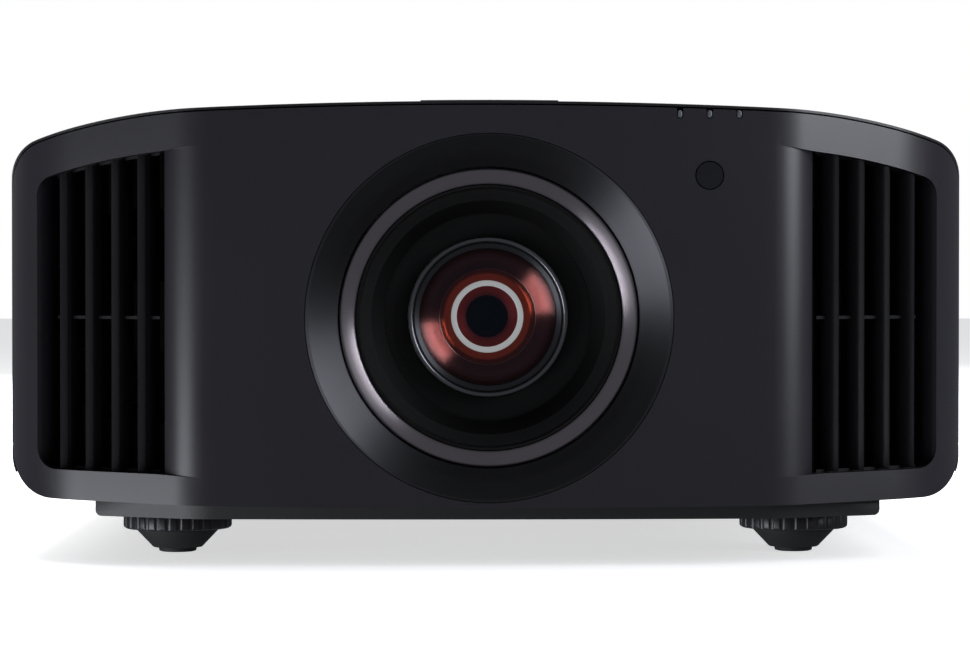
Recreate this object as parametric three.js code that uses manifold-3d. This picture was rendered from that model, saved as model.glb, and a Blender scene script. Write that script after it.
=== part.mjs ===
// Home cinema projector, built as an assembly of separate solids.
// Millimetres, +Z up. The lens looks along -Y, and +X is to the right as seen from in front.
// The origin lies on the floor, under the middle of the case.
import * as THREE from "three";
import { mergeVertices } from "three/addons/utils/BufferGeometryUtils.js";
import Module from "manifold-3d";

const wasm = await Module();
wasm.setup();

// ---------------------------------------------------------------- driving sizes

const WIDTH = 500;
const DEPTH = 505;
const HEIGHT = 234;
const FRONT = -DEPTH / 2;
const BACK = DEPTH / 2;
const HALF_WIDTH = WIDTH / 2;

// Clearances
const GAP = 0.4; // between fixed pieces that sit against each other
const SEAM = 0.8; // visible joint line between the case shells
const RUNNING = 0.35; // radial clearance of pins, rods and screws in their bores
const BUTTON_GAP = 0.3;
const ARC_STEP = THREE.MathUtils.degToRad(16); // facet angle of small arcs
const LENS_SIDES = 32;
const CELL_SIDES = 24;
const ROD_SIDES = 10;
const BRACKET_SIDES = 16;

// Case outline, seen from in front
const COVER_WALL = 1.8;
const CASE_WALL = 2.4;
const PANEL_WALL = 3;
const COVER_LIP = COVER_WALL + SEAM;
const LIP_SETBACK = 1.2; // the cover's front edge stands this far behind the panel's face
const CROWN_RADIUS = 3300;
const CROWN_HALF = HALF_WIDTH - 100;
const SHOULDER_RADIUS = 330;
const EDGE_RADIUS = 26;
const BELLY_RADIUS = 10240;
const BELLY_Z = 30.4;
const SPLIT_Z = 58; // the cover meets the chassis here
const REAR_CORNER = 30;

// Vents, laid out inwards from the case's side
const VENT_SIDE = 19;
const VENT_WIDTH = 68;
const VENT_TIP = 20;
const VENT_TIP_RISE = 3.2;
const VENT_TIP_FALL = 1.4;
const VENT_TOP = 20.8;
const VENT_BOTTOM = 15;
const VENT_CORNER = 10.5;
const VENT_REACH = 120; // how far back the vent's cutters run
const VENT_OUTER_X = HALF_WIDTH - VENT_SIDE;
const VENT_INNER_X = VENT_OUTER_X - VENT_WIDTH;
const VENT_TIP_X = VENT_INNER_X - VENT_TIP;
const LIP_DEPTH = 10;
const LOUVRE_FRONT = LIP_DEPTH + GAP; // depths of the louvre's own frame behind the face
const LOUVRE_BACK = LOUVRE_FRONT + 3;
const FRAME_LEDGE = 2;
const TIE_HEIGHT = 2;
const LIP_WALL = 2.4;
const BLADE_COUNT = 4;
const BLADE_PITCH = 13.8;
const BLADE_FIRST = 13;
const BLADE_RECESS = 4;
const BLADE_DEPTH = 22;
const BLADE_REACH = 9; // each blade rolls this far inwards
const BLADE_ROLL = 12;
const BLADE_NOSE = THREE.MathUtils.degToRad(20); // the face's direction at the blade's front edge
const BLADE_HOOK = THREE.MathUtils.degToRad(78); // and where its tail begins
const BLADE_THICK = 1.8;
const CHEEK_DEPTH = 14;
const RIM_OVERLAP = 0.2; // the scoops and cheeks run this far into the vent's rim

// Front face in plan
const FACE_RADIUS = 2600;
const FACE_HALF = VENT_TIP_X - 5;
const BEND_RADIUS = 55;
const SWEEP = THREE.MathUtils.degToRad(24.7);
const PLAN_CORNER = 77;
const SCOOP_RADIUS = 30;

// Lens opening, as radii about the lens axis and depths behind the front plane
const LENS_Z = 125.2;
const BEZEL_RADIUS = 91.9;
const BEZEL_THROAT = 76.3;
const BEZEL_DEPTH = 21;
const BEZEL_WALL = 2.4;
const BEZEL_FLANGE = 5;
const RING_GROOVE = 0.9;
const RING_WIDTH = 8;
const RING_THICK = 6;
const SHROUD_WALL = 2;
const SHROUD_THROAT = 53.2;
const SHROUD_DEPTH = 45;
const SHIELD_DEPTH = 48.5;
const SHIELD_THICK = 1.5;

// Lens barrel
const BARREL_RADIUS = 40.7;
const BARREL_FRONT = 43;
const BARREL_NECK = 38;
const BARREL_WALL = 2.3;
const CELL_DEPTH = 17;
const BARREL_TAIL = 30;
const BARREL_END = 171;
const FLANGE_RADIUS = 50;
const FLANGE_THICK = 3.6;
const IRIS_RADIUS = 24.7;
const RETAINER_INNER = 35.2;
const INNER_RING_OUTER = 18.8;
const INNER_RING_INNER = 15.9;
const INNER_RING_DEPTH = 68;

// Toothed rings and pinions
const GEAR_MODULE = 1.5;
const RING_TEETH = 60;
const PINION_TEETH = 12;
const SECTOR_TEETH = 21;
const TOOTH_SHARE = 0.36;
const ADDENDUM = 0.75;
const DEDENDUM = 1.15;
const GEAR_WIDTH = 9;
const FOCUS_RING_DEPTH = 63;
const ZOOM_RING_DEPTH = 92;
const ZOOM_RING_WIDTH = 14;
const FOCUS_RING_WIDTH = 16;
const FOCUS_MOTOR_ANGLE = THREE.MathUtils.degToRad(135);
const ZOOM_MOTOR_ANGLE = THREE.MathUtils.degToRad(45);

// Lens shift
const SHIFT_UP = 8;
const SHIFT_ACROSS = 6.5;
const STAGE_DEPTH = 126; // front face of the horizontal carriage
const STAGE_PLATE = 4;
const ROD_RADIUS = 4;
const LUG = 14;
const POST = 8;
const SCREW_RADIUS = 3;
const ACROSS_ROD_Z = 58;
const ACROSS_SCREW_Z = 75;
const UP_ROD_X = 74;
const SHIFT_MOTOR = 22;
const SHIFT_MOTOR_LENGTH = 24;

// Feet
const FOOT_X = HALF_WIDTH - 86;
const FOOT_FRONT = 110; // behind the front plane
const FOOT_REAR = 70; // before the back plane
const PAD_RADIUS = 10;
const PAD_HEIGHT = 2.3;
const CONE_TOP = 12.3;
const CONE_LOW_RADIUS = 13.3;
const CONE_HIGH_RADIUS = 21.7;
const WHEEL_RADIUS = 28.7;
const WHEEL_TOP = 19.9;
const WHEEL_NECK = 15;
const WHEEL_SCALLOPS = 20;
const SCALLOP_DEPTH = 0.9;
const STEM_RADIUS = 4;
const STEM_TOP = 41;

// Chassis tray
const TRAY_BOTTOM = 24.2;
const TRAY_HALF = HALF_WIDTH - 50;
const TRAY_INSET = 8;
const TRAY_CORNER = 3;
const BOSS_RADIUS = 12;
const BOSS_TOP = 44;
const BRACKET_X = HALF_WIDTH - 115;
const BRACKET_Y = [-42, 138];
const BRACKET_BORE = 2.5;
const BRACKET_DEPTH = 9;
const BRACKET_BOSS = 6;

// Fans
const FAN_SIZE = 120;
const FAN_THICK = 25;
const FAN_SIDE = 10.2; // between the fan's frame and the cover's side
const FAN_X = HALF_WIDTH - COVER_WALL - FAN_SIDE - FAN_SIZE / 2;
const FAN_CLEAR = 3; // behind the louvre
const BAFFLE_THICK = 2;
const BAFFLE_INSET = 6;
const FAN_BORE = 57;
const FAN_HUB = 20;
const FAN_BLADES = 7;

// Rear panel
const TERMINAL_X = [-150, 60];
const TERMINAL_Z = [44, 92];
const TERMINAL_WALL = 2;
const FILTER_X = [-212, -62];
const FILTER_Z = [116, 204];
const FILTER_SLATS = 9;
const INLET_X = 188;
const INLET_Z = 68;
const KEYS_X = 150;
const KEYS_Z = 158;
const KEY_PITCH = 17;
const KEY_RADIUS = 5;
const KEY_RECESS = 1.4;
const KEY_ROW_DROP = 38;

// ---------------------------------------------------------------- solids

// A closed geometry as a solid, with doubled points merged and collapsed facets left out.
function solid(geometry) {
  const bare = geometry.index ? geometry.toNonIndexed() : geometry.clone();
  bare.deleteAttribute("normal");
  bare.deleteAttribute("uv");
  const merged = mergeVertices(bare, 1e-3);
  const corners = merged.index.array;
  const kept = [];
  for (let i = 0; i < corners.length; i += 3) {
    const [a, b, c] = corners.slice(i, i + 3);
    if (a !== b && b !== c && c !== a) kept.push(a, b, c);
  }
  return new wasm.Manifold(
    new wasm.Mesh({
      numProp: 3,
      vertProperties: merged.attributes.position.array,
      triVerts: new Uint32Array(kept),
    }),
  );
}

const sides = [-1, 1];
const corners = sides.flatMap((a) => sides.map((b) => [a, b]));
const around = (middle, size) => [middle - size / 2, middle + size / 2];
const grown = ([low, high], by) => [low - by, high + by];

const union = (...parts) => parts.flat().reduce((all, part) => all.add(part));
const cut = (body, ...tools) => tools.flat().reduce((left, tool) => left.subtract(tool), body);

function extrusion(points, length) {
  const shape = new THREE.Shape(points.map(([u, v]) => new THREE.Vector2(u, v)));
  return new THREE.ExtrudeGeometry(shape, { depth: length, bevelEnabled: false });
}

// Prisms whose outline lies across X, Y or Z.
function prismX(points, from, to) {
  const turn = new THREE.Matrix4().makeBasis(
    new THREE.Vector3(0, 1, 0),
    new THREE.Vector3(0, 0, 1),
    new THREE.Vector3(1, 0, 0),
  );
  return solid(extrusion(points, to - from).applyMatrix4(turn).translate(from, 0, 0));
}

function prismY(points, from, to) {
  return solid(extrusion(points, to - from).rotateX(Math.PI / 2).translate(0, to, 0));
}

function prismZ(points, from, to) {
  return solid(extrusion(points, to - from).translate(0, 0, from));
}

function box([x0, x1], [y0, y1], [z0, z1]) {
  const block = new THREE.BoxGeometry(x1 - x0, y1 - y0, z1 - z0);
  return solid(block.translate((x0 + x1) / 2, (y0 + y1) / 2, (z0 + z1) / 2));
}

function circle(u, v, radius, sides = ROD_SIDES) {
  return Array.from({ length: sides }, (_, i) => {
    const angle = (2 * Math.PI * (i + 0.5)) / sides;
    return [u + radius * Math.cos(angle), v + radius * Math.sin(angle)];
  });
}

const rodX = (y, z, radius, from, to) => prismX(circle(y, z, radius), from, to);
const rodY = (x, z, radius, from, to, sides) => prismY(circle(x, z, radius, sides), from, to);
const rodZ = (x, y, radius, from, to, sides) => prismZ(circle(x, y, radius, sides), from, to);

// A solid of revolution about the Y axis, from a closed outline of [radius, depth].
function turned(outline, sides = LENS_SIDES) {
  const points = outline.map(([radius, depth]) => new THREE.Vector2(radius, depth));
  if (THREE.ShapeUtils.area(points) < 0) points.reverse();
  return solid(new THREE.LatheGeometry([...points, points[0]], sides));
}

// The same about the lens axis, with depths behind the front plane.
const onLensAxis = (outline, sides) => turned(outline, sides).translate([0, FRONT, LENS_Z]);

const lensCylinder = (radius, from, to, sides) =>
  onLensAxis([[0, from], [radius, from], [radius, to], [0, to]], sides);

// ---------------------------------------------------------------- outlines

// Walks arcs and straight runs from a start, turning left for a positive turn.
function walk(u, v, heading, steps) {
  const points = [[u, v]];
  for (const step of steps) {
    if (step.length !== undefined) {
      u += step.length * Math.cos(heading);
      v += step.length * Math.sin(heading);
      points.push([u, v]);
      continue;
    }
    const count = Math.max(1, Math.ceil(Math.abs(step.turn) / ARC_STEP), step.facets ?? 1);
    const side = Math.sign(step.turn);
    const centreU = u - side * step.radius * Math.sin(heading);
    const centreV = v + side * step.radius * Math.cos(heading);
    for (let i = 1; i <= count; i += 1) {
      const angle = heading + (step.turn * i) / count;
      points.push([
        centreU + side * step.radius * Math.sin(angle),
        centreV - side * step.radius * Math.cos(angle),
      ]);
    }
    heading += step.turn;
    [u, v] = points.at(-1);
  }
  return points;
}

const mirrored = (points) => points.map(([u, v]) => [-u, v]).reverse();

// Half of the front face in plan, from the middle to the side, set back by `inset`.
function frontHalf(inset) {
  const faceTurn = Math.asin(FACE_HALF / FACE_RADIUS);
  const bendRun = BEND_RADIUS * (Math.sin(SWEEP) - Math.sin(faceTurn));
  const cornerRun = PLAN_CORNER * (1 - Math.sin(SWEEP));
  const sweepLength = (HALF_WIDTH - FACE_HALF - bendRun - cornerRun) / Math.cos(SWEEP);
  return walk(0, FRONT + inset, 0, [
    { radius: FACE_RADIUS - inset, turn: faceTurn, facets: 3 },
    { radius: BEND_RADIUS - inset, turn: SWEEP - faceTurn, facets: 2 },
    { length: sweepLength },
    { radius: PLAN_CORNER - inset, turn: Math.PI / 2 - SWEEP, facets: 5 },
  ]);
}

function rearHalf(inset) {
  return walk(0, BACK - inset, 0, [
    { length: HALF_WIDTH - REAR_CORNER },
    { radius: REAR_CORNER - inset, turn: -Math.PI / 2, facets: 4 },
  ]);
}

// The case's footprint: inset all round, and its two ends moved inwards by `setback`.
function footprint(inset, setback = 0) {
  const front = frontHalf(inset).map(([x, y]) => [x, y + setback]);
  const rear = rearHalf(inset).map(([x, y]) => [x, y - setback]).reverse();
  return [...mirrored(front), ...front.slice(1), ...rear, ...mirrored(rear).slice(1)];
}

const caseBlock = (inset, setback) => prismZ(footprint(inset, setback), -10, HEIGHT + 10);

// Height of the case's crown at a distance from the middle.
const crownAt = (x) => HEIGHT - CROWN_RADIUS + Math.sqrt(CROWN_RADIUS ** 2 - x ** 2);

// Depth behind the front plane, at a distance from the middle, of the face or of a layer inside it.
function faceDepth(x, inset = 0) {
  const points = frontHalf(inset);
  const next = points.findIndex(([u]) => u >= x);
  const [[u0, v0], [u1, v1]] = [points[Math.max(next - 1, 0)], points[Math.max(next, 1)]];
  return v0 + ((v1 - v0) * (x - u0)) / (u1 - u0) - FRONT;
}

// Right half of the case seen from in front, from the bottom middle up to the top middle.
function outlineHalf({ top = 0, side = 0, bottom = 0, upper, lower }) {
  const half = HALF_WIDTH - side;
  const upperRadius = upper ?? EDGE_RADIUS - (top + side) / 2;
  const lowerRadius = lower ?? EDGE_RADIUS - (bottom + side) / 2;
  const belly = BELLY_RADIUS - bottom;
  const bellyTurn = Math.asin((half - lowerRadius) / (belly - lowerRadius));
  const crown = CROWN_RADIUS - top;
  const crownTurn = Math.asin(CROWN_HALF / CROWN_RADIUS);
  const shoulder = SHOULDER_RADIUS - top;
  const reach = half - crown * Math.sin(crownTurn) + shoulder * Math.sin(crownTurn) - upperRadius;
  const shoulderTurn = Math.asin(reach / (shoulder - upperRadius));
  const low = walk(0, BELLY_Z + bottom, 0, [
    { radius: belly, turn: bellyTurn, facets: 2 },
    { radius: lowerRadius, turn: Math.PI / 2 - bellyTurn, facets: 4 },
  ]);
  const high = walk(0, HEIGHT - top, 0, [
    { radius: crown, turn: -crownTurn, facets: 2 },
    { radius: shoulder, turn: crownTurn - shoulderTurn, facets: 2 },
    { radius: upperRadius, turn: shoulderTurn - Math.PI / 2, facets: 4 },
  ]);
  return [...low, ...high.reverse()];
}

function outline(insets) {
  const half = outlineHalf(insets);
  return [...half, ...mirrored(half).slice(1, -1)];
}

const outlineBlock = (insets) => prismY(outline(insets), FRONT - 10, BACK + 10);

// Outline of the right vent: parallel to the case, drawn out to a pointed crease at its inner end.
function ventOutline(grow) {
  const edge = outlineHalf({
    top: VENT_TOP - grow,
    side: VENT_SIDE - grow,
    bottom: VENT_BOTTOM - grow,
    upper: VENT_CORNER + grow,
    lower: VENT_CORNER + grow,
  });
  const outer = edge.filter(([x]) => x > VENT_INNER_X + 1);
  const [low, high] = [outer[0][1], outer.at(-1)[1]];
  const slope = (high - outer.at(-2)[1]) / (outer.at(-1)[0] - outer.at(-2)[0]);
  const innerHigh = high - slope * (outer.at(-1)[0] - VENT_INNER_X);
  return [
    [VENT_TIP_X - grow, low - VENT_TIP_FALL],
    [VENT_INNER_X, low - 0.2],
    ...outer,
    [VENT_INNER_X, innerHigh],
    [VENT_TIP_X - grow, innerHigh + VENT_TIP_RISE],
  ];
}

const ventBlock = (grow) => prismY(ventOutline(grow), FRONT - 10, FRONT + VENT_REACH);
const bothSides = (part) => [part, part.mirror([1, 0, 0])];

const FAN_DEPTH = faceDepth(VENT_OUTER_X + LIP_WALL, LOUVRE_BACK) + FAN_CLEAR;

// A layer behind the front face, between two depths measured square to it.
function faceLayer(near, far) {
  const end = frontHalf(0).at(-1)[1];
  const layer = caseBlock(near).subtract(caseBlock(far));
  return layer.intersect(box([-WIDTH, WIDTH], [FRONT - 10, end], [-10, HEIGHT + 10]));
}

// ---------------------------------------------------------------- case

const PANEL_OUTLINE = { top: COVER_LIP, side: COVER_LIP, bottom: 0 };
const SENSOR = { x: FACE_HALF - 28, z: HEIGHT - 37.5, radius: 6.9 };
const INDICATORS = { x: SENSOR.x, pitch: 14.9, width: 2.6, length: 3.7, drop: 2.55, bar: 2 };
const INDICATOR_END_X = INDICATORS.x + 1.5 * INDICATORS.pitch;
const INDICATOR_HIGH = crownAt(INDICATOR_END_X) - INDICATORS.drop;
const INDICATOR_LOW = INDICATOR_HIGH - INDICATORS.length;
const INDICATOR_DEPTH = faceDepth(INDICATORS.x + 2 * INDICATORS.pitch) + PANEL_WALL + GAP;

// Right half of the rolled-back face between the panel's middle and the vent's inner edge.
function scoop() {
  const start = FACE_HALF + 2;
  const heading = Math.asin(start / FACE_RADIUS);
  const reach = VENT_INNER_X - start;
  const turn = Math.asin(reach / SCOOP_RADIUS + Math.sin(heading)) - heading;
  const depth = FRONT + faceDepth(start);
  const face = walk(start, depth, heading, [{ radius: SCOOP_RADIUS, turn, facets: 4 }]);
  const back = walk(start, depth + PANEL_WALL, heading, [
    { radius: SCOOP_RADIUS - PANEL_WALL, turn, facets: 4 },
  ]);
  return prismZ([...face, ...back.reverse()], 0, HEIGHT).intersect(ventBlock(RIM_OVERLAP));
}

// Section in plan of a blade that starts at a sharp outboard edge and rolls back and inwards.
function bladeSection(x, y, depth) {
  const heading = Math.PI - BLADE_NOSE;
  const turn = BLADE_NOSE - BLADE_HOOK;
  const rear = [x + BLADE_THICK * Math.sin(heading), y - BLADE_THICK * Math.cos(heading)];
  const face = walk(x, y, heading, [{ radius: BLADE_ROLL, turn }]);
  const back = walk(...rear, heading, [{ radius: BLADE_ROLL - BLADE_THICK, turn }]);
  const end = x - BLADE_REACH;
  return [...face, [end, y + depth], [end + BLADE_THICK, y + depth], ...back.reverse()];
}

// The vent's outer wall, shaped as the blades are and joined to the panel's rim.
function cheek() {
  const x = VENT_OUTER_X + RIM_OVERLAP;
  const section = bladeSection(x, FRONT + faceDepth(x) + RIM_OVERLAP, CHEEK_DEPTH);
  return prismZ(section, 0, HEIGHT).intersect(ventBlock(RIM_OVERLAP));
}

function indicatorNotches(grow) {
  return [-1, 0, 1].map((i) => {
    const x = INDICATORS.x + i * INDICATORS.pitch;
    const half = INDICATORS.width / 2 + grow;
    const through = [FRONT - 5, FRONT + INDICATOR_DEPTH + INDICATORS.bar];
    return box([x - half, x + half], through, [INDICATOR_LOW - grow, HEIGHT]);
  });
}

function frontPanel() {
  const shell = faceLayer(0, PANEL_WALL).intersect(outlineBlock(PANEL_OUTLINE));
  const limit = frontHalf(0).find(([x]) => x > HALF_WIDTH - COVER_LIP)[1];
  const ahead = box([-WIDTH, WIDTH], [FRONT - 10, limit], [-10, HEIGHT + 10]);
  const lips = faceLayer(0.5, LIP_DEPTH).intersect(union(bothSides(ventBlock(LIP_WALL))));
  const body = cut(union(shell.intersect(ahead), lips), bothSides(ventBlock(0)));
  const bore = lensCylinder(BEZEL_RADIUS + GAP, -5, 30);
  const eye = rodY(SENSOR.x, SENSOR.z, SENSOR.radius + GAP, FRONT - 5, FRONT + 30, 24);
  const rolled = [scoop(), cheek()].flatMap(bothSides);
  return cut(union(body, rolled), bore, eye, indicatorNotches(BUTTON_GAP));
}

// The room that the front or rear panel takes, with its seam.
function panelRoom() {
  const room = { top: COVER_LIP - GAP, side: COVER_LIP - GAP, bottom: -5 };
  const band = caseBlock(-5).subtract(caseBlock(PANEL_WALL + GAP));
  const front = box([-WIDTH, WIDTH], [FRONT - 10, frontHalf(0).at(-1)[1]], [-10, HEIGHT + 10]);
  const rear = box([-WIDTH, WIDTH], [BACK - REAR_CORNER, BACK + 10], [-10, HEIGHT + 10]);
  return band.intersect(union(front, rear)).intersect(outlineBlock(room));
}

function caseRing(wall) {
  const inner = { top: wall, side: wall, bottom: wall };
  return outlineBlock({}).subtract(outlineBlock(inner)).intersect(caseBlock(0, LIP_SETBACK));
}

function topCover() {
  const above = box([-WIDTH, WIDTH], [FRONT - 10, BACK + 10], [SPLIT_Z + SEAM / 2, HEIGHT + 10]);
  return cut(caseRing(COVER_WALL).intersect(above), panelRoom());
}

const FOOT_PLACES = [
  ["front_left", -FOOT_X, FRONT + FOOT_FRONT],
  ["front_right", FOOT_X, FRONT + FOOT_FRONT],
  ["rear_left", -FOOT_X, BACK - FOOT_REAR],
  ["rear_right", FOOT_X, BACK - FOOT_REAR],
];
const TRAY_FLOOR = TRAY_BOTTOM + CASE_WALL;

// A rectangle in the front view with its lower corners rounded.
function trayOutline(inset) {
  const half = TRAY_HALF - inset;
  const radius = TRAY_CORNER;
  const low = walk(0, TRAY_BOTTOM + inset, 0, [
    { length: half - radius },
    { radius, turn: Math.PI / 2, facets: 3 },
    { length: 14 },
  ]);
  return [...low, ...mirrored(low).slice(0, -1)];
}

function bottomChassis() {
  const below = box([-WIDTH, WIDTH], [FRONT - 10, BACK + 10], [0, SPLIT_Z - SEAM / 2]);
  const shell = cut(caseRing(CASE_WALL).intersect(below), panelRoom());
  const skirt = box([-WIDTH, WIDTH], [FRONT, BACK], [TRAY_BOTTOM - 1, BELLY_Z + CASE_WALL + 3]);
  const tray = prismY(trayOutline(0), FRONT, BACK).intersect(caseBlock(TRAY_INSET)).intersect(skirt);
  const hollow = prismY(trayOutline(CASE_WALL), FRONT, BACK).intersect(caseBlock(TRAY_INSET + CASE_WALL));
  const bosses = FOOT_PLACES.map(([, x, y]) => rodZ(x, y, BOSS_RADIUS, TRAY_BOTTOM, BOSS_TOP));
  const bores = FOOT_PLACES.map(([, x, y]) => rodZ(x, y, STEM_RADIUS + RUNNING, 0, BOSS_TOP + 5));
  const bracket = sides.flatMap((a) => BRACKET_Y.map((y) => [a * BRACKET_X, y]));
  const top = TRAY_BOTTOM + BRACKET_DEPTH;
  const studs = bracket.map(([x, y]) => rodZ(x, y, BRACKET_BOSS, TRAY_BOTTOM, top + 2, BRACKET_SIDES));
  const holes = bracket.map(([x, y]) => rodZ(x, y, BRACKET_BORE, 0, top, BRACKET_SIDES));
  return cut(union(cut(union(shell, tray), hollow), bosses, studs), bores, holes);
}

// ---------------------------------------------------------------- rear

const KEYS = [
  ["up_button", 0, KEY_PITCH],
  ["down_button", 0, -KEY_PITCH],
  ["left_button", KEY_PITCH, 0],
  ["right_button", -KEY_PITCH, 0],
  ["ok_button", 0, 0],
  ["menu_button", KEY_PITCH, -KEY_ROW_DROP],
  ["back_button", 0, -KEY_ROW_DROP],
  ["power_button", -KEY_PITCH, -KEY_ROW_DROP],
];
const INLET = { width: 30, height: 22, recessWidth: 24, recessHeight: 16, recess: 16, body: 24 };

function rearPanel() {
  const limit = box([-WIDTH, WIDTH], [BACK - REAR_CORNER * 0.6, BACK + 10], [-10, HEIGHT + 10]);
  const band = caseBlock(0).subtract(caseBlock(PANEL_WALL)).intersect(limit);
  const shell = band.intersect(outlineBlock(PANEL_OUTLINE));
  const through = [BACK - 40, BACK + 5];
  const terminals = box(TERMINAL_X, through, TERMINAL_Z);
  const filter = box(FILTER_X, through, FILTER_Z);
  const inlet = box(
    around(INLET_X, INLET.width + 2 * GAP),
    through,
    around(INLET_Z, INLET.height + 2 * GAP),
  );
  const recess = box(
    grown([KEYS_X - KEY_PITCH, KEYS_X + KEY_PITCH], 12),
    [BACK - KEY_RECESS, BACK + 5],
    grown([KEYS_Z - KEY_ROW_DROP, KEYS_Z + KEY_PITCH], 12),
  );
  const keyholes = KEYS.map(([, x, z]) =>
    rodY(KEYS_X + x, KEYS_Z + z, KEY_RADIUS + BUTTON_GAP, BACK - 10, BACK + 5),
  );
  return cut(shell, terminals, filter, inlet, recess, keyholes);
}

function button(x, z) {
  const face = BACK - 0.2;
  const inside = BACK - PANEL_WALL - BUTTON_GAP;
  const cap = rodY(x, z, KEY_RADIUS, inside - 1, face);
  const flange = rodY(x, z, KEY_RADIUS + 1.8, inside - 1.6, inside);
  return union(cap, flange);
}

// A ventilated cover whose slats lean down and out.
function filterCover() {
  const [x0, x1] = grown(FILTER_X, -GAP);
  const [z0, z1] = grown(FILTER_Z, -GAP);
  const face = [BACK - PANEL_WALL, BACK];
  const rim = 7;
  const plate = box([x0, x1], face, [z0, z1]);
  const window = box(grown([x0, x1], -rim), [BACK - 10, BACK + 5], grown([z0, z1], -rim));
  const pitch = (z1 - z0 - 2 * rim) / FILTER_SLATS;
  const slats = Array.from({ length: FILTER_SLATS - 1 }, (_, i) => {
    const z = z0 + rim + (i + 1) * pitch;
    const section = [
      [BACK - 2.8, z + 1.6],
      [BACK - 0.4, z - 1.6],
      [BACK - 0.4, z - 0.2],
      [BACK - 2.8, z + 3],
    ];
    return prismX(section, x0 + rim - 1, x1 - rim + 1);
  });
  return union(cut(plate, window), slats);
}

const SOCKETS = {
  video_socket_1: { x: 18, z: 68, width: 15.6, height: 6.2, hollow: [14.2, 4.8], deep: 13, body: 16 },
  video_socket_2: { x: -14, z: 68, width: 15.6, height: 6.2, hollow: [14.2, 4.8], deep: 13, body: 16 },
  network_socket: { x: -50, z: 68, width: 16.4, height: 13.6, hollow: [12, 8.6], deep: 13, body: 18 },
};
const PLATE_FACE = BACK - PANEL_WALL - GAP;

function terminalPlate() {
  const face = [PLATE_FACE - TERMINAL_WALL, PLATE_FACE];
  const plate = box(grown(TERMINAL_X, 6), face, grown(TERMINAL_Z, 5));
  const holes = Object.values(SOCKETS).map(({ x, z, width, height }) =>
    box(around(x, width + 2 * GAP), [PLATE_FACE - 10, BACK], around(z, height + 2 * GAP)),
  );
  const jacks = [-82, -106, -130].map((x) => rodY(x, 68, 4.4, PLATE_FACE - 10, BACK));
  return cut(plate, holes, jacks);
}

function socket({ x, z, width, height, hollow, deep, body }) {
  const mouth = PLATE_FACE + 1;
  const shell = box(around(x, width), [mouth - body, mouth], around(z, height));
  const flange = box(
    around(x, width + 4),
    [mouth - body, PLATE_FACE - TERMINAL_WALL - GAP],
    around(z, height + 3),
  );
  const room = box(around(x, hollow[0]), [mouth - deep, BACK + 5], around(z, hollow[1]));
  return cut(union(shell, flange), room);
}

function powerInlet() {
  const face = BACK - 0.2;
  const body = box(around(INLET_X, INLET.width), [face - INLET.body, face], around(INLET_Z, INLET.height));
  const flange = box(
    around(INLET_X, INLET.width + 12),
    [face - INLET.body, BACK - PANEL_WALL - GAP],
    around(INLET_Z, INLET.height),
  );
  const room = box(
    around(INLET_X, INLET.recessWidth),
    [face - INLET.recess, BACK + 5],
    around(INLET_Z, INLET.recessHeight),
  );
  return cut(union(body, flange), room);
}

// ---------------------------------------------------------------- vents and fans

// Blades on a frame that sits behind the vent's return lip.
function exhaustLouvre() {
  const blades = Array.from({ length: BLADE_COUNT }, (_, i) => {
    const x = VENT_OUTER_X - BLADE_FIRST - i * BLADE_PITCH;
    const section = bladeSection(x, FRONT + faceDepth(x) + BLADE_RECESS, BLADE_DEPTH);
    return prismZ(section, 0, HEIGHT);
  });
  const bay = [FRONT, FRONT + FAN_DEPTH];
  const beside = box([VENT_INNER_X + 3, VENT_OUTER_X - BLADE_REACH - 1], bay, [0, HEIGHT]);
  const layer = faceLayer(LOUVRE_FRONT, LOUVRE_BACK).intersect(beside);
  const frame = cut(layer.intersect(ventBlock(LIP_WALL)), ventBlock(-FRAME_LEDGE));
  const middle = box([0, WIDTH], bay, around(LENS_Z, TIE_HEIGHT));
  const tie = layer.intersect(middle).intersect(ventBlock(0));
  return union(union(blades).intersect(ventBlock(-GAP)), frame, tie);
}

// The fan's casing, with a baffle that closes the bay above and below it.
function fanFrame() {
  const half = FAN_SIZE / 2;
  const y = FRONT + FAN_DEPTH;
  const body = box([FAN_X - half, FAN_X + half], [y, y + FAN_THICK], [LENS_Z - half, LENS_Z + half]);
  const bore = rodY(FAN_X, LENS_Z, FAN_BORE, y - 5, y + FAN_THICK + 5, 24);
  const hub = rodY(FAN_X, LENS_Z, FAN_HUB, y + FAN_THICK - 3, y + FAN_THICK, 16);
  const spokes = [0, 90, 180, 270].map((angle) => {
    const arm = box([FAN_HUB - 4, FAN_BORE + 2], [y + FAN_THICK - 3, y + FAN_THICK], [-2, 2]);
    return arm.rotate([0, angle, 0]).translate([FAN_X, 0, LENS_Z]);
  });
  const baffle = box([FAN_X - half, HALF_WIDTH], [y, y + BAFFLE_THICK], [0, HEIGHT])
    .intersect(outlineBlock({ top: BAFFLE_INSET, side: BAFFLE_INSET, bottom: BAFFLE_INSET }))
    .intersect(caseBlock(BAFFLE_INSET));
  return union(cut(union(body, baffle), bore), hub, spokes);
}

// Hub and leaning blades, turning about the fan's own axis.
function fanRotor() {
  const y = FRONT + FAN_DEPTH;
  const hub = rodY(0, 0, FAN_HUB, y + 2, y + FAN_THICK - 3 - GAP, 16);
  const blade = prismX(
    [
      [y + 3, -9],
      [y + 4.2, -9],
      [y + 19, 9],
      [y + 17.8, 9],
    ],
    FAN_HUB - 3,
    FAN_BORE - 3,
  );
  const blades = Array.from({ length: FAN_BLADES }, (_, i) => blade.rotate([0, (360 * i) / FAN_BLADES, 0]));
  return union(hub, blades).translate([FAN_X, 0, LENS_Z]);
}

// ---------------------------------------------------------------- feet

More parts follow.
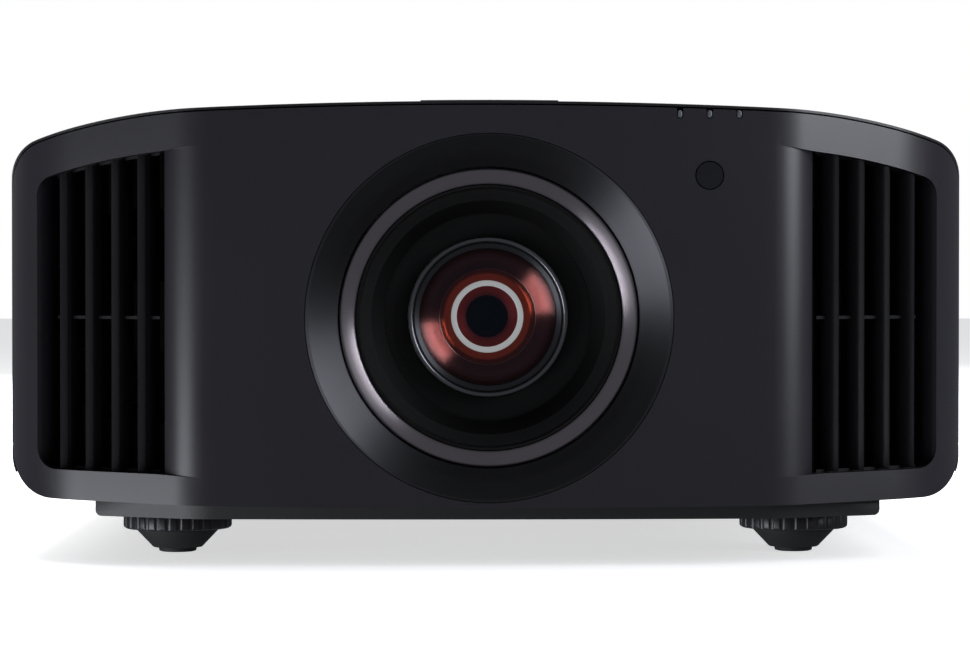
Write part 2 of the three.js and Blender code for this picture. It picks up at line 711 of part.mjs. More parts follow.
function footStem(x, y) {
  const outline = [
    [0, 0],
    [PAD_RADIUS, 0],
    [PAD_RADIUS, PAD_HEIGHT],
    [CONE_LOW_RADIUS, PAD_HEIGHT],
    [CONE_HIGH_RADIUS, CONE_TOP - GAP],
    [STEM_RADIUS, CONE_TOP - GAP],
    [STEM_RADIUS, STEM_TOP],
    [0, STEM_TOP],
  ];
  return turned(outline, 16).rotate([90, 0, 0]).translate([x, y, 0]);
}

function footWheel(x, y) {
  const rim = Array.from({ length: WHEEL_SCALLOPS * 2 }, (_, i) => {
    const angle = (Math.PI * (i + 0.5)) / WHEEL_SCALLOPS;
    const radius = i % 2 ? WHEEL_RADIUS - SCALLOP_DEPTH : WHEEL_RADIUS;
    return [radius * Math.cos(angle), radius * Math.sin(angle)];
  });
  const wheel = prismZ(rim, CONE_TOP, WHEEL_TOP);
  const neck = rodZ(0, 0, WHEEL_NECK, WHEEL_TOP - 1, TRAY_BOTTOM - GAP);
  const bore = rodZ(0, 0, STEM_RADIUS + RUNNING, 0, TRAY_BOTTOM + 5);
  return cut(union(wheel, neck), bore).translate([x, y, 0]);
}

// ---------------------------------------------------------------- lens front

const RING_OUTER = BEZEL_THROAT - RING_GROOVE;
const RING_INNER = RING_OUTER - RING_WIDTH;
const RING_FRONT = BEZEL_DEPTH + 0.4;
const RING_BACK = RING_FRONT + RING_THICK;
const SHROUD_RADIUS = RING_INNER - GAP;
const SHROUD_FLANGE = [RING_BACK + GAP, RING_BACK + GAP + 2.2];

function lensBezel() {
  const back = SHROUD_FLANGE[1];
  const outline = [
    [BEZEL_RADIUS, 0],
    [BEZEL_RADIUS, PANEL_WALL + 2.4],
    [BEZEL_RADIUS + BEZEL_FLANGE, PANEL_WALL + 2.4],
    [BEZEL_RADIUS + BEZEL_FLANGE, PANEL_WALL + 5],
    [BEZEL_RADIUS - 3, PANEL_WALL + 5],
    [BEZEL_THROAT + BEZEL_WALL, BEZEL_DEPTH],
    [BEZEL_THROAT + BEZEL_WALL, back],
    [BEZEL_THROAT, back],
    [BEZEL_THROAT, BEZEL_DEPTH],
  ];
  const inside = outlineBlock({ top: COVER_LIP, side: COVER_LIP, bottom: CASE_WALL + GAP });
  return onLensAxis(outline).intersect(caseBlock(0)).intersect(inside);
}

function lensTrimRing() {
  return onLensAxis([
    [RING_OUTER - 0.8, RING_FRONT],
    [RING_OUTER, RING_FRONT + 0.8],
    [RING_OUTER, RING_BACK],
    [RING_INNER, RING_BACK],
    [RING_INNER, RING_FRONT + 1.4],
  ]);
}

function lensShroud() {
  const front = RING_FRONT + 1.2;
  return onLensAxis([
    [SHROUD_RADIUS, front],
    [SHROUD_RADIUS, SHROUD_FLANGE[0]],
    [BEZEL_THROAT - GAP, SHROUD_FLANGE[0]],
    [BEZEL_THROAT - GAP, SHROUD_FLANGE[1]],
    [SHROUD_RADIUS - 2.4, SHROUD_FLANGE[1]],
    [SHROUD_THROAT + SHROUD_WALL, SHROUD_DEPTH],
    [SHROUD_THROAT + SHROUD_WALL, SHROUD_DEPTH + 1.2],
    [SHROUD_THROAT, SHROUD_DEPTH + 1.2],
    [SHROUD_THROAT, SHROUD_DEPTH],
    [SHROUD_RADIUS - 1, front],
  ]);
}

function lensLightShield() {
  const reach = SHROUD_THROAT + Math.hypot(SHIFT_UP, SHIFT_ACROSS) + 3;
  return onLensAxis([
    [BARREL_RADIUS + GAP, SHIELD_DEPTH],
    [reach, SHIELD_DEPTH],
    [reach, SHIELD_DEPTH + SHIELD_THICK],
    [BARREL_RADIUS + GAP, SHIELD_DEPTH + SHIELD_THICK],
  ], CELL_SIDES);
}

// ---------------------------------------------------------------- lens

const CELL_BORE = BARREL_RADIUS - BARREL_WALL;
const CELL_END = BARREL_FRONT + CELL_DEPTH;
const FLANGE_FRONT = STAGE_DEPTH - GAP - FLANGE_THICK;

function lensBarrel() {
  return onLensAxis([
    [BARREL_RADIUS, BARREL_FRONT],
    [BARREL_RADIUS, CELL_END - 2],
    [BARREL_NECK, CELL_END],
    [BARREL_NECK, FLANGE_FRONT],
    [FLANGE_RADIUS, FLANGE_FRONT],
    [FLANGE_RADIUS, FLANGE_FRONT + FLANGE_THICK],
    [BARREL_TAIL, FLANGE_FRONT + FLANGE_THICK],
    [BARREL_TAIL, BARREL_END],
    [BARREL_TAIL - BARREL_WALL, BARREL_END],
    [BARREL_TAIL - BARREL_WALL, CELL_END + 2],
    [IRIS_RADIUS, CELL_END + 2],
    [IRIS_RADIUS, CELL_END],
    [CELL_BORE, CELL_END],
    [CELL_BORE, BARREL_FRONT],
  ], CELL_SIDES);
}

function lensRetainingRing() {
  const front = BARREL_FRONT + 1.4;
  return onLensAxis([
    [RETAINER_INNER + 0.6, front],
    [CELL_BORE - GAP, front],
    [CELL_BORE - GAP, front + 6],
    [RETAINER_INNER, front + 6],
    [RETAINER_INNER, front + 1],
  ], CELL_SIDES);
}

// A lens with one domed face: points of a spherical cap from the axis to the rim.
function cap(radius, rimDepth, rise, count) {
  const sphere = (radius * radius + rise * rise) / (2 * rise);
  const reach = Math.asin(radius / Math.abs(sphere));
  return Array.from({ length: count + 1 }, (_, i) => {
    const angle = (reach * i) / count;
    const sag = sphere * (1 - Math.cos(angle));
    return [Math.abs(sphere) * Math.sin(angle), rimDepth - rise + sag];
  });
}

function frontLens() {
  const rim = BARREL_FRONT + 1.4 + 6 + GAP;
  const radius = RETAINER_INNER - GAP;
  const seat = CELL_BORE - GAP;
  return onLensAxis([
    ...cap(radius, rim, 4.2, 6),
    [seat, rim],
    [seat, rim + 3.2],
    [0, rim + 3.2],
  ], CELL_SIDES);
}

function innerLensRing() {
  const bore = BARREL_TAIL - BARREL_WALL - GAP;
  return onLensAxis([
    [INNER_RING_INNER, INNER_RING_DEPTH],
    [INNER_RING_OUTER, INNER_RING_DEPTH],
    [INNER_RING_OUTER, INNER_RING_DEPTH + 4],
    [bore, INNER_RING_DEPTH + 4],
    [bore, INNER_RING_DEPTH + 7],
    [INNER_RING_INNER, INNER_RING_DEPTH + 7],
  ], CELL_SIDES);
}

function innerLens() {
  const rim = INNER_RING_DEPTH + 7 + GAP;
  const seat = BARREL_TAIL - BARREL_WALL - GAP;
  return onLensAxis([
    ...cap(INNER_RING_INNER - GAP, rim, 3.4, 4),
    [seat, rim],
    [seat, rim + 5],
    [0, rim + 5],
  ], CELL_SIDES);
}

// ---------------------------------------------------------------- lens drives

const RING_PITCH_RADIUS = (GEAR_MODULE * RING_TEETH) / 2;
const PINION_PITCH_RADIUS = (GEAR_MODULE * PINION_TEETH) / 2;
const MESH_DISTANCE = RING_PITCH_RADIUS + PINION_PITCH_RADIUS;
const MOTOR_RADIUS = PINION_PITCH_RADIUS - ADDENDUM * GEAR_MODULE - RUNNING; // clears the other ring's teeth

// Four corners of one tooth, about an angle.
function tooth(pitchRadius, teeth, angle) {
  const step = (2 * Math.PI) / teeth;
  const root = pitchRadius - DEDENDUM * GEAR_MODULE;
  const tip = pitchRadius + ADDENDUM * GEAR_MODULE;
  return [
    [root, -0.62],
    [tip, -0.3],
    [tip, 0.3],
    [root, 0.62],
  ].map(([radius, share]) => {
    const turn = angle + share * TOOTH_SHARE * step * 1.5;
    return [radius * Math.cos(turn), radius * Math.sin(turn)];
  });
}

// A ring with teeth over one sector, its middle tooth gap facing `angle`.
function sectorRing(angle, depth, width) {
  const step = (2 * Math.PI) / RING_TEETH;
  const first = angle - ((SECTOR_TEETH - 1) / 2) * step;
  const teeth = Array.from({ length: SECTOR_TEETH }, (_, i) =>
    tooth(RING_PITCH_RADIUS, RING_TEETH, first + i * step),
  ).flat();
  const plain = RING_PITCH_RADIUS - DEDENDUM * GEAR_MODULE;
  const open = 2 * Math.PI - SECTOR_TEETH * step;
  const facets = 18;
  const back = Array.from({ length: facets - 1 }, (_, i) => {
    const turn = first + (SECTOR_TEETH - 0.5) * step + (open * (i + 1)) / facets;
    return [plain * Math.cos(turn), plain * Math.sin(turn)];
  });
  const rim = [...teeth, ...back];
  const gear = prismY(rim, 0, GEAR_WIDTH).translate([0, FRONT + depth, LENS_Z]);
  const sleeve = lensCylinder(plain - 1, depth, depth + width, CELL_SIDES);
  const bore = lensCylinder(BARREL_NECK + RUNNING, depth - 5, depth + width + 5, CELL_SIDES);
  return cut(union(gear, sleeve), bore);
}

// A pinion with a tooth gap facing the ring's middle tooth.
function pinion(angle, depth) {
  const step = (2 * Math.PI) / PINION_TEETH;
  const first = angle + Math.PI + step / 2;
  const teeth = Array.from({ length: PINION_TEETH }, (_, i) =>
    tooth(PINION_PITCH_RADIUS, PINION_TEETH, first + i * step),
  ).flat();
  const x = MESH_DISTANCE * Math.cos(angle);
  const z = LENS_Z + MESH_DISTANCE * Math.sin(angle);
  return prismY(teeth, 0, GEAR_WIDTH).translate([x, FRONT + depth, z]);
}

// A small motor that reaches from behind its pinion back to the carriage.
function driveMotor(angle, depth) {
  const x = MESH_DISTANCE * Math.cos(angle);
  const z = LENS_Z + MESH_DISTANCE * Math.sin(angle);
  const from = FRONT + depth + GEAR_WIDTH + GAP;
  return rodY(x, z, MOTOR_RADIUS, from, FRONT + FLANGE_FRONT - GAP);
}

// ---------------------------------------------------------------- lens shift

const STAGE_BACK = STAGE_DEPTH + STAGE_PLATE;
const ACROSS_ROD_DEPTH = STAGE_BACK + LUG / 2;
const UP_PLATE = [STAGE_BACK + LUG + 1, STAGE_BACK + LUG + 1 + STAGE_PLATE];
const UP_ROD_DEPTH = UP_PLATE[1] + LUG / 2;
const BASE_PLATE = [UP_PLATE[1] + LUG + 1, UP_PLATE[1] + LUG + 1 + STAGE_PLATE];
const CARRIAGE_HALF = 64;
const CARRIAGE_LUG_X = 46;
const ACROSS_POST_X = CARRIAGE_HALF + SHIFT_ACROSS + 6;
const STAGE_HALF = ACROSS_POST_X + POST;
const UP_SCREW_X = STAGE_HALF + 1 + SHIFT_MOTOR / 2;
const UP_LUG_Z = 44;
const UP_POST_Z = UP_LUG_Z + LUG / 2 + SHIFT_UP + 4;
const depths = ([from, to]) => [FRONT + from, FRONT + to];

function horizontalCarriage() {
  const plate = box(
    [-CARRIAGE_HALF, CARRIAGE_HALF],
    depths([STAGE_DEPTH, STAGE_BACK]),
    [LENS_Z - ACROSS_ROD_Z - LUG / 2, LENS_Z + ACROSS_SCREW_Z + LUG / 2],
  );
  const lugDepths = depths([STAGE_BACK - 1, STAGE_BACK + LUG]);
  const lugs = corners.map(([a, b]) =>
    box(around(a * CARRIAGE_LUG_X, 20), lugDepths, around(LENS_Z + b * ACROSS_ROD_Z, LUG)),
  );
  const nut = box([-8, 8], lugDepths, around(LENS_Z + ACROSS_SCREW_Z, LUG));
  const y = FRONT + ACROSS_ROD_DEPTH;
  const bores = sides.map((b) =>
    rodX(y, LENS_Z + b * ACROSS_ROD_Z, ROD_RADIUS + RUNNING, -CARRIAGE_HALF - 5, CARRIAGE_HALF + 5),
  );
  const thread = rodX(y, LENS_Z + ACROSS_SCREW_Z, SCREW_RADIUS + RUNNING, -20, 20);
  const bore = lensCylinder(BARREL_TAIL + GAP, STAGE_DEPTH - 5, STAGE_BACK + 20, CELL_SIDES);
  return cut(union(plate, lugs, nut), bores, thread, bore);
}

function verticalCarriage() {
  const half = STAGE_HALF;
  const plate = box([-half, half], depths(UP_PLATE), [
    LENS_Z - ACROSS_ROD_Z - LUG / 2,
    LENS_Z + ACROSS_SCREW_Z + LUG / 2,
  ]);
  const window = box(
    around(0, 2 * (BARREL_TAIL + SHIFT_ACROSS + 2)),
    depths([STAGE_DEPTH, BASE_PLATE[0]]),
    around(LENS_Z, 2 * (BARREL_TAIL + 4)),
  );
  const postDepths = depths([STAGE_BACK, UP_PLATE[0] + 1]);
  const postZ = [-ACROSS_ROD_Z, ACROSS_ROD_Z, ACROSS_SCREW_Z];
  const posts = postZ.flatMap((z) =>
    sides.map((a) => box(around(a * (ACROSS_POST_X + POST / 2), POST), postDepths, around(LENS_Z + z, LUG))),
  );
  const y = FRONT + ACROSS_ROD_DEPTH;
  const rods = sides.map((b) =>
    rodX(y, LENS_Z + b * ACROSS_ROD_Z, ROD_RADIUS, -ACROSS_POST_X - 1, ACROSS_POST_X + 1),
  );
  const screw = rodX(y, LENS_Z + ACROSS_SCREW_Z, SCREW_RADIUS + RUNNING, -half - 5, half + 5);
  const lugDepths = depths([UP_PLATE[1] - 1, UP_PLATE[1] + LUG]);
  const lugs = corners.map(([a, b]) =>
    box(around(a * UP_ROD_X, 18), lugDepths, around(LENS_Z + b * UP_LUG_Z, LUG)),
  );
  const arm = box([UP_ROD_X, UP_SCREW_X + 8], lugDepths, around(LENS_Z, LUG));
  const bridge = box([half - 12, UP_SCREW_X + 8], depths(UP_PLATE), around(LENS_Z, LUG));
  const bores = sides.map((a) =>
    rodZ(a * UP_ROD_X, FRONT + UP_ROD_DEPTH, ROD_RADIUS + RUNNING, LENS_Z - 90, LENS_Z + 90),
  );
  const nut = rodZ(UP_SCREW_X, FRONT + UP_ROD_DEPTH, SCREW_RADIUS + RUNNING, LENS_Z - 20, LENS_Z + 20);
  return cut(union(cut(plate, window), posts, lugs, arm, bridge, rods), screw, bores, nut);
}

function shiftBase() {
  const half = UP_SCREW_X + SHIFT_MOTOR / 2;
  const top = UP_POST_Z + POST;
  const plate = box([-half, half], depths(BASE_PLATE), [TRAY_FLOOR + GAP, LENS_Z + top]);
  const window = box(
    around(0, 2 * (BARREL_TAIL + SHIFT_ACROSS + 3)),
    depths([BASE_PLATE[0] - 5, BASE_PLATE[1] + 5]),
    around(LENS_Z, 2 * (BARREL_TAIL + SHIFT_UP + 3)),
  );
  const tabDepths = depths([UP_PLATE[1] + 1, BASE_PLATE[0] + 1]);
  const tabs = sides.flatMap((b) => [
    box([-UP_ROD_X - 9, -UP_ROD_X + 9], tabDepths, around(LENS_Z + b * (UP_POST_Z + POST / 2), POST)),
    box([UP_ROD_X - 9, half], tabDepths, around(LENS_Z + b * (UP_POST_Z + POST / 2), POST)),
  ]);
  const y = FRONT + UP_ROD_DEPTH;
  const rods = sides.map((a) =>
    rodZ(a * UP_ROD_X, y, ROD_RADIUS, LENS_Z - UP_POST_Z - 1, LENS_Z + UP_POST_Z + 1),
  );
  const screw = rodZ(UP_SCREW_X, y, SCREW_RADIUS + RUNNING, LENS_Z - 100, LENS_Z + 100);
  return cut(union(cut(plate, window), tabs, rods), screw);
}

function verticalShiftScrew() {
  const reach = UP_POST_Z + POST;
  return rodZ(UP_SCREW_X, FRONT + UP_ROD_DEPTH, SCREW_RADIUS, LENS_Z - reach, LENS_Z + reach);
}

function verticalShiftMotor() {
  const top = LENS_Z - UP_POST_Z - POST - GAP;
  const y = FRONT + UP_ROD_DEPTH;
  return box(
    around(UP_SCREW_X, SHIFT_MOTOR),
    [y - SHIFT_MOTOR / 2, Math.min(y + SHIFT_MOTOR / 2, FRONT + BASE_PLATE[0] - GAP)],
    [top - SHIFT_MOTOR_LENGTH, top],
  );
}

function horizontalShiftScrew() {
  return rodX(FRONT + ACROSS_ROD_DEPTH, LENS_Z + ACROSS_SCREW_Z, SCREW_RADIUS, -STAGE_HALF, STAGE_HALF);
}

function horizontalShiftMotor() {
  const from = STAGE_HALF + GAP;
  const side = around(FRONT + ACROSS_ROD_DEPTH, LUG);
  return box([from, from + SHIFT_MOTOR_LENGTH], side, around(LENS_Z + ACROSS_SCREW_Z, LUG));
}

// ---------------------------------------------------------------- inside the case

const ENGINE_FRONT = BARREL_END + 6;
const ENGINE_LENGTH = 150;
const ENGINE_HALF = 98;
const ENGINE_LEG = 16;
const FIN_COUNT = 9;
const FIN_PITCH = 16;
const FIN_THICK = 2.4;
const SIDE_BAY = [118, HALF_WIDTH - 14];
const BAY_DEPTH = [FAN_DEPTH + FAN_THICK + 4, 300];

function opticalBlock() {
  const depth = depths([ENGINE_FRONT, ENGINE_FRONT + ENGINE_LENGTH]);
  const middle = (depth[0] + depth[1]) / 2;
  const body = box([-ENGINE_HALF, ENGINE_HALF], depth, [LENS_Z - 62, LENS_Z + 56]);
  const port = rodY(0, LENS_Z, BARREL_TAIL - 6, depth[0] - 5, depth[0] + 30, CELL_SIDES);
  const [legX, legY] = [ENGINE_HALF - 12, ENGINE_LENGTH / 2 - 15];
  const legs = corners.map(([a, b]) =>
    box(
      around(a * legX, ENGINE_LEG),
      around(middle + b * legY, ENGINE_LEG),
      [TRAY_FLOOR + GAP, LENS_Z - 61],
    ),
  );
  return cut(union(body, legs), port);
}

function laserHeatsink() {
  const [x0, x1] = SIDE_BAY;
  const base = box([-x0 - 8, -x0], depths(BAY_DEPTH), [TRAY_FLOOR + GAP + 10, LENS_Z + 62]);
  const fins = Array.from({ length: FIN_COUNT }, (_, i) => {
    const z = LENS_Z + (i - FIN_COUNT / 2) * FIN_PITCH;
    return box([-x1, -x0 - 7], depths(grown(BAY_DEPTH, -6)), [z, z + FIN_THICK]);
  });
  return union(base, fins);
}

function powerSupply() {
  const [x0, x1] = SIDE_BAY;
  const can = box([x0, x1], depths(BAY_DEPTH), [BOSS_TOP + 2, LENS_Z + 24]);
  const windings = box([x0 + 20, x0 + 70], depths([BAY_DEPTH[0] + 40, BAY_DEPTH[1] - 60]), [
    LENS_Z + 23,
    LENS_Z + 44,
  ]);
  return union(can, windings);
}

function mainBoard() {
  const z = HEIGHT - 30;
  const board = box([-108, 108], depths([ENGINE_FRONT + 12, DEPTH - 60]), [z, z + 1.6]);
  const chips = [
    [-60, 240, 34],
    [10, 250, 40],
    [66, 330, 26],
    [-40, 350, 30],
  ].map(([x, depth, size]) => box(around(x, size), around(FRONT + depth, size), [z + 1, z + 6]));
  return union(board, chips);
}

function remoteSensorWindow() {
  const { x, z, radius } = SENSOR;
  return rodY(x, z, radius, FRONT - 2, FRONT + 8, 24).intersect(caseBlock(0));
}

function indicatorLightPipe() {
  const y = FRONT + INDICATOR_DEPTH;
  const nubs = [-1, 0, 1].map((i) => {
    const x = INDICATORS.x + i * INDICATORS.pitch;
    return box(around(x, INDICATORS.width), [FRONT - 2, y + 1], [INDICATOR_LOW, INDICATOR_HIGH]);
  });
  const span = around(INDICATORS.x, 2 * INDICATORS.pitch + 6);
  const bar = box(span, [y, y + INDICATORS.bar], [INDICATOR_LOW - 1, INDICATOR_HIGH]);
  return union(nubs, bar).intersect(caseBlock(0));
}

// ---------------------------------------------------------------- finishes and assembly

const finish = (color, roughness, metalness) => () =>
  new THREE.MeshStandardMaterial({ color, roughness, metalness });
const PAINTED = finish(0x27252c, 0.42, 0.1);
const CASE_BLACK = finish(0x1d1c20, 0.5, 0.05);
const MATT_BLACK = finish(0x0c0c0d, 0.75, 0);
const GUNMETAL = finish(0x8f888c, 0.35, 1);
const RUBBER = finish(0x101011, 0.9, 0);
const STEEL = finish(0x9a9a9c, 0.35, 1);
const ALUMINIUM = finish(0xa9abad, 0.4, 1);
const GLASS = finish(0x1c1420, 0.05, 0);
const SMOKED = finish(0x08070a, 0.12, 0);
const CLEAR_PLASTIC = finish(0x6a6c72, 0.25, 0);
const BOARD_GREEN = finish(0x14361f, 0.55, 0);
const ENGINE_GREY = finish(0x3a3b3e, 0.5, 0.6);
const MOTOR_GREY = finish(0x55565a, 0.4, 0.9);
const NYLON = finish(0xb9b4a6, 0.6, 0);

const projector = new THREE.Group();

function place(name, body, look) {
  const raw = body.getMesh();
  const positions = new Float32Array(raw.numVert * 3);
  for (let i = 0; i < raw.numVert; i += 1) {
    positions.set(raw.vertProperties.subarray(i * raw.numProp, i * raw.numProp + 3), i * 3);
  }
  const geometry = new THREE.BufferGeometry();
  geometry.setAttribute("position", new THREE.BufferAttribute(positions, 3));
  geometry.setIndex(new THREE.BufferAttribute(raw.triVerts, 1));
  geometry.computeVertexNormals();
  const mesh = new THREE.Mesh(geometry, look());
  mesh.name = name;
  projector.add(mesh);
}

place("front_panel", frontPanel(), PAINTED);
place("top_cover", topCover(), PAINTED);
place("bottom_chassis", bottomChassis(), CASE_BLACK);
place("rear_panel", rearPanel(), PAINTED);
place("filter_cover", filterCover(), CASE_BLACK);
place("lens_bezel", lensBezel(), MATT_BLACK);
place("lens_trim_ring", lensTrimRing(), GUNMETAL);
place("lens_shroud", lensShroud(), MATT_BLACK);
place("remote_sensor_window", remoteSensorWindow(), SMOKED);
place("indicator_light_pipe", indicatorLightPipe(), CLEAR_PLASTIC);

for (const [side, mirror] of [["right", false], ["left", true]]) {
  const handed = (part) => (mirror ? part.mirror([1, 0, 0]) : part);
  place(`exhaust_louvre_${side}`, handed(exhaustLouvre()), CASE_BLACK);
  place(`fan_frame_${side}`, handed(fanFrame()), MATT_BLACK);
  place(`fan_rotor_${side}`, handed(fanRotor()), MATT_BLACK);
}

for (const [corner, x, y] of FOOT_PLACES) {
  place(`foot_stem_${corner}`, footStem(x, y), RUBBER);
  place(`foot_wheel_${corner}`, footWheel(x, y), CASE_BLACK);
}

place("lens_light_shield", lensLightShield(), MATT_BLACK);
place("lens_barrel", lensBarrel(), MATT_BLACK);
place("lens_retaining_ring", lensRetainingRing(), MATT_BLACK);
place("front_lens_element", frontLens(), GLASS);
place("inner_lens_ring", innerLensRing(), STEEL);
place("inner_lens_element", innerLens(), GLASS);
place("focus_ring", sectorRing(FOCUS_MOTOR_ANGLE, FOCUS_RING_DEPTH, FOCUS_RING_WIDTH), NYLON);
place("zoom_ring", sectorRing(ZOOM_MOTOR_ANGLE, ZOOM_RING_DEPTH, ZOOM_RING_WIDTH), NYLON);
place("focus_pinion", pinion(FOCUS_MOTOR_ANGLE, FOCUS_RING_DEPTH), NYLON);
place("zoom_pinion", pinion(ZOOM_MOTOR_ANGLE, ZOOM_RING_DEPTH), NYLON);
place("focus_motor", driveMotor(FOCUS_MOTOR_ANGLE, FOCUS_RING_DEPTH), MOTOR_GREY);
place("zoom_motor", driveMotor(ZOOM_MOTOR_ANGLE, ZOOM_RING_DEPTH), MOTOR_GREY);

place("horizontal_carriage", horizontalCarriage(), ALUMINIUM);
place("vertical_carriage", verticalCarriage(), ALUMINIUM);
place("shift_base", shiftBase(), ALUMINIUM);
place("vertical_shift_screw", verticalShiftScrew(), STEEL);
place("vertical_shift_motor", verticalShiftMotor(), MOTOR_GREY);
place("horizontal_shift_screw", horizontalShiftScrew(), STEEL);
place("horizontal_shift_motor", horizontalShiftMotor(), MOTOR_GREY);

place("optical_block", opticalBlock(), ENGINE_GREY);
place("laser_heatsink", laserHeatsink(), ALUMINIUM);
place("power_supply", powerSupply(), STEEL);
place("main_board", mainBoard(), BOARD_GREEN);

place("terminal_plate", terminalPlate(), CASE_BLACK);
for (const [name, size] of Object.entries(SOCKETS)) place(name, socket(size), STEEL);
place("power_inlet", powerInlet(), MATT_BLACK);
for (const [name, x, z] of KEYS) place(name, button(KEYS_X + x, KEYS_Z + z), CASE_BLACK);

export default projector;
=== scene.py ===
"""Home cinema projector: its visible pieces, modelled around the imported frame.

Sizes are in millimetres and become metres where a mesh is made. The lens looks along -Y,
+X is to the right as seen from in front, and the origin lies on the floor under the case.
"""

import logging
import math
from collections.abc import Iterable, Iterator, Sequence
from contextlib import contextmanager
from dataclasses import dataclass
from enum import Enum

import bpy
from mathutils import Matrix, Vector


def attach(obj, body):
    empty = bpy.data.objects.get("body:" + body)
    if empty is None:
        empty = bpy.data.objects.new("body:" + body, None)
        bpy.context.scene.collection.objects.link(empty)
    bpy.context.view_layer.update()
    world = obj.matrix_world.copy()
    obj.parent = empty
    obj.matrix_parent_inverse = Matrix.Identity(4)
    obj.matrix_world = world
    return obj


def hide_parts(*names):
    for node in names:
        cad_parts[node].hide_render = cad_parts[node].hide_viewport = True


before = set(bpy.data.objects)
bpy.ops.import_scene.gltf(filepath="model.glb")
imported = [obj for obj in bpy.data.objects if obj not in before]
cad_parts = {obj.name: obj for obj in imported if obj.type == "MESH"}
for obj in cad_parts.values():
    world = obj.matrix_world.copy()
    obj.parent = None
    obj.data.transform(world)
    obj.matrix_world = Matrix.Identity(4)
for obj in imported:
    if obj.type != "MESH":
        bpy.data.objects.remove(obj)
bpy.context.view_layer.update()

LOG = logging.getLogger("projector")
MM = 0.001
SPARE = 10.0  # how far a cutter runs past what it cuts
Point = tuple[float, float]
Place = tuple[float, float, float]
Tree = bpy.types.NodeTree
Socket = bpy.types.NodeSocket
Shader = bpy.types.Node


# ------------------------------------------------------------------ drawing outlines


@dataclass(frozen=True)
class Arc:
    """A stretch of circle, turning left for a positive turn in radians."""

    radius: float
    turn: float
    facets: int = 12


@dataclass(frozen=True)
class Run:
    """A straight stretch."""

    length: float


def walk(start: Point, heading: float, steps: Iterable[Arc | Run]) -> list[Point]:
    """Follow arcs and runs from a start.

    Args:
        start: where the outline begins.
        heading: the first direction, in radians from the first axis.
        steps: the arcs and runs in order.

    Returns:
        The outline's points, the start among them.
    """
    u, v = start
    points = [(u, v)]
    for step in steps:
        if isinstance(step, Run):
            u += step.length * math.cos(heading)
            v += step.length * math.sin(heading)
            points.append((u, v))
            continue
        side = math.copysign(1.0, step.turn)
        centre = (u - side * step.radius * math.sin(heading), v + side * step.radius * math.cos(heading))
        for i in range(1, step.facets + 1):
            angle = heading + step.turn * i / step.facets
            points.append(
                (
                    centre[0] + side * step.radius * math.sin(angle),
                    centre[1] - side * step.radius * math.cos(angle),
                )
            )
        heading += step.turn
        u, v = points[-1]
    return points


def mirrored(points: Iterable[Point]) -> list[Point]:
    """The outline's mirror image across the second axis, walked the other way."""
    return [(-u, v) for u, v in points][::-1]


def rectangle(u: Point, v: Point) -> list[Point]:
    """The corners of a rectangle between two limits on each axis."""
    return [(u[0], v[0]), (u[1], v[0]), (u[1], v[1]), (u[0], v[1])]


def rounded(u: Point, v: Point, radius: float, facets: int = 5) -> list[Point]:
    """A rectangle with round corners, walked from its lower left."""
    quarter = Arc(radius, math.pi / 2, facets)
    across, up = Run(u[1] - u[0] - 2 * radius), Run(v[1] - v[0] - 2 * radius)
    return walk((u[0] + radius, v[0]), 0.0, [across, quarter, up, quarter, across, quarter, up, quarter])[:-1]


def around(middle: float, size: float) -> Point:
    """The two limits of a size about its middle."""
    return (middle - size / 2, middle + size / 2)


# ------------------------------------------------------------------ the workbench


class Plane(Enum):
    """The plane an outline is drawn in, with the directions of its two axes and of its depth."""

    XY = ((1, 0, 0), (0, 1, 0), (0, 0, 1))
    XZ = ((1, 0, 0), (0, 0, 1), (0, 1, 0))
    YZ = ((0, 1, 0), (0, 0, 1), (1, 0, 0))

    def at(self, point: Point, depth: float) -> Vector:
        """A point of the plane in metres."""
        first, second, third = (Vector(axis) for axis in self.value)
        return (first * point[0] + second * point[1] + third * depth) * MM


class Join(Enum):
    """How one solid is combined with another."""

    ADD = "UNION"
    CUT = "DIFFERENCE"
    KEEP = "INTERSECT"


def choose(*pieces: bpy.types.Object) -> None:
    """Select only these pieces and make the first active."""
    bpy.ops.object.select_all(action="DESELECT")
    for piece in pieces:
        piece.select_set(True)
    bpy.context.view_layer.objects.active = pieces[0]


@contextmanager
def editing(piece: bpy.types.Object) -> Iterator[None]:
    """Edit mode on one piece, with everything in it selected."""
    choose(piece)
    bpy.ops.object.mode_set(mode="EDIT")
    bpy.ops.mesh.select_all(action="SELECT")
    yield
    bpy.ops.object.mode_set(mode="OBJECT")


def settle(piece: bpy.types.Object, name: str) -> bpy.types.Object:
    """Name a piece and put its place into its mesh."""
    choose(piece)
    bpy.ops.object.transform_apply(location=True, rotation=True, scale=True)
    piece.name = name
    piece.data.name = name
    return piece


def chain(name: str, points: Sequence[Point], plane: Plane, depth: float, closed: bool) -> bpy.types.Object:
    """Draw a chain of edges by extruding one vertex from point to point.

    Args:
        name: the new object's name.
        points: the chain's points in the plane.
        plane: the plane they lie in.
        depth: how far along the plane's third axis it lies.
        closed: whether the last point joins the first.

    Returns:
        The object, with its vertices in world places.
    """
    bpy.ops.mesh.primitive_plane_add(size=MM, location=plane.at(points[0], depth))
    piece = bpy.context.object
    with editing(piece):
        bpy.ops.mesh.merge(type="CENTER")
        here = plane.at(points[0], depth)
        for point in [*points[1:], *([points[0]] if closed else [])]:
            there = plane.at(point, depth)
            bpy.ops.mesh.extrude_region_move(TRANSFORM_OT_translate={"value": there - here})
            here = there
        bpy.ops.mesh.select_all(action="SELECT")
        bpy.ops.mesh.remove_doubles(threshold=1e-6)
    return settle(piece, name)


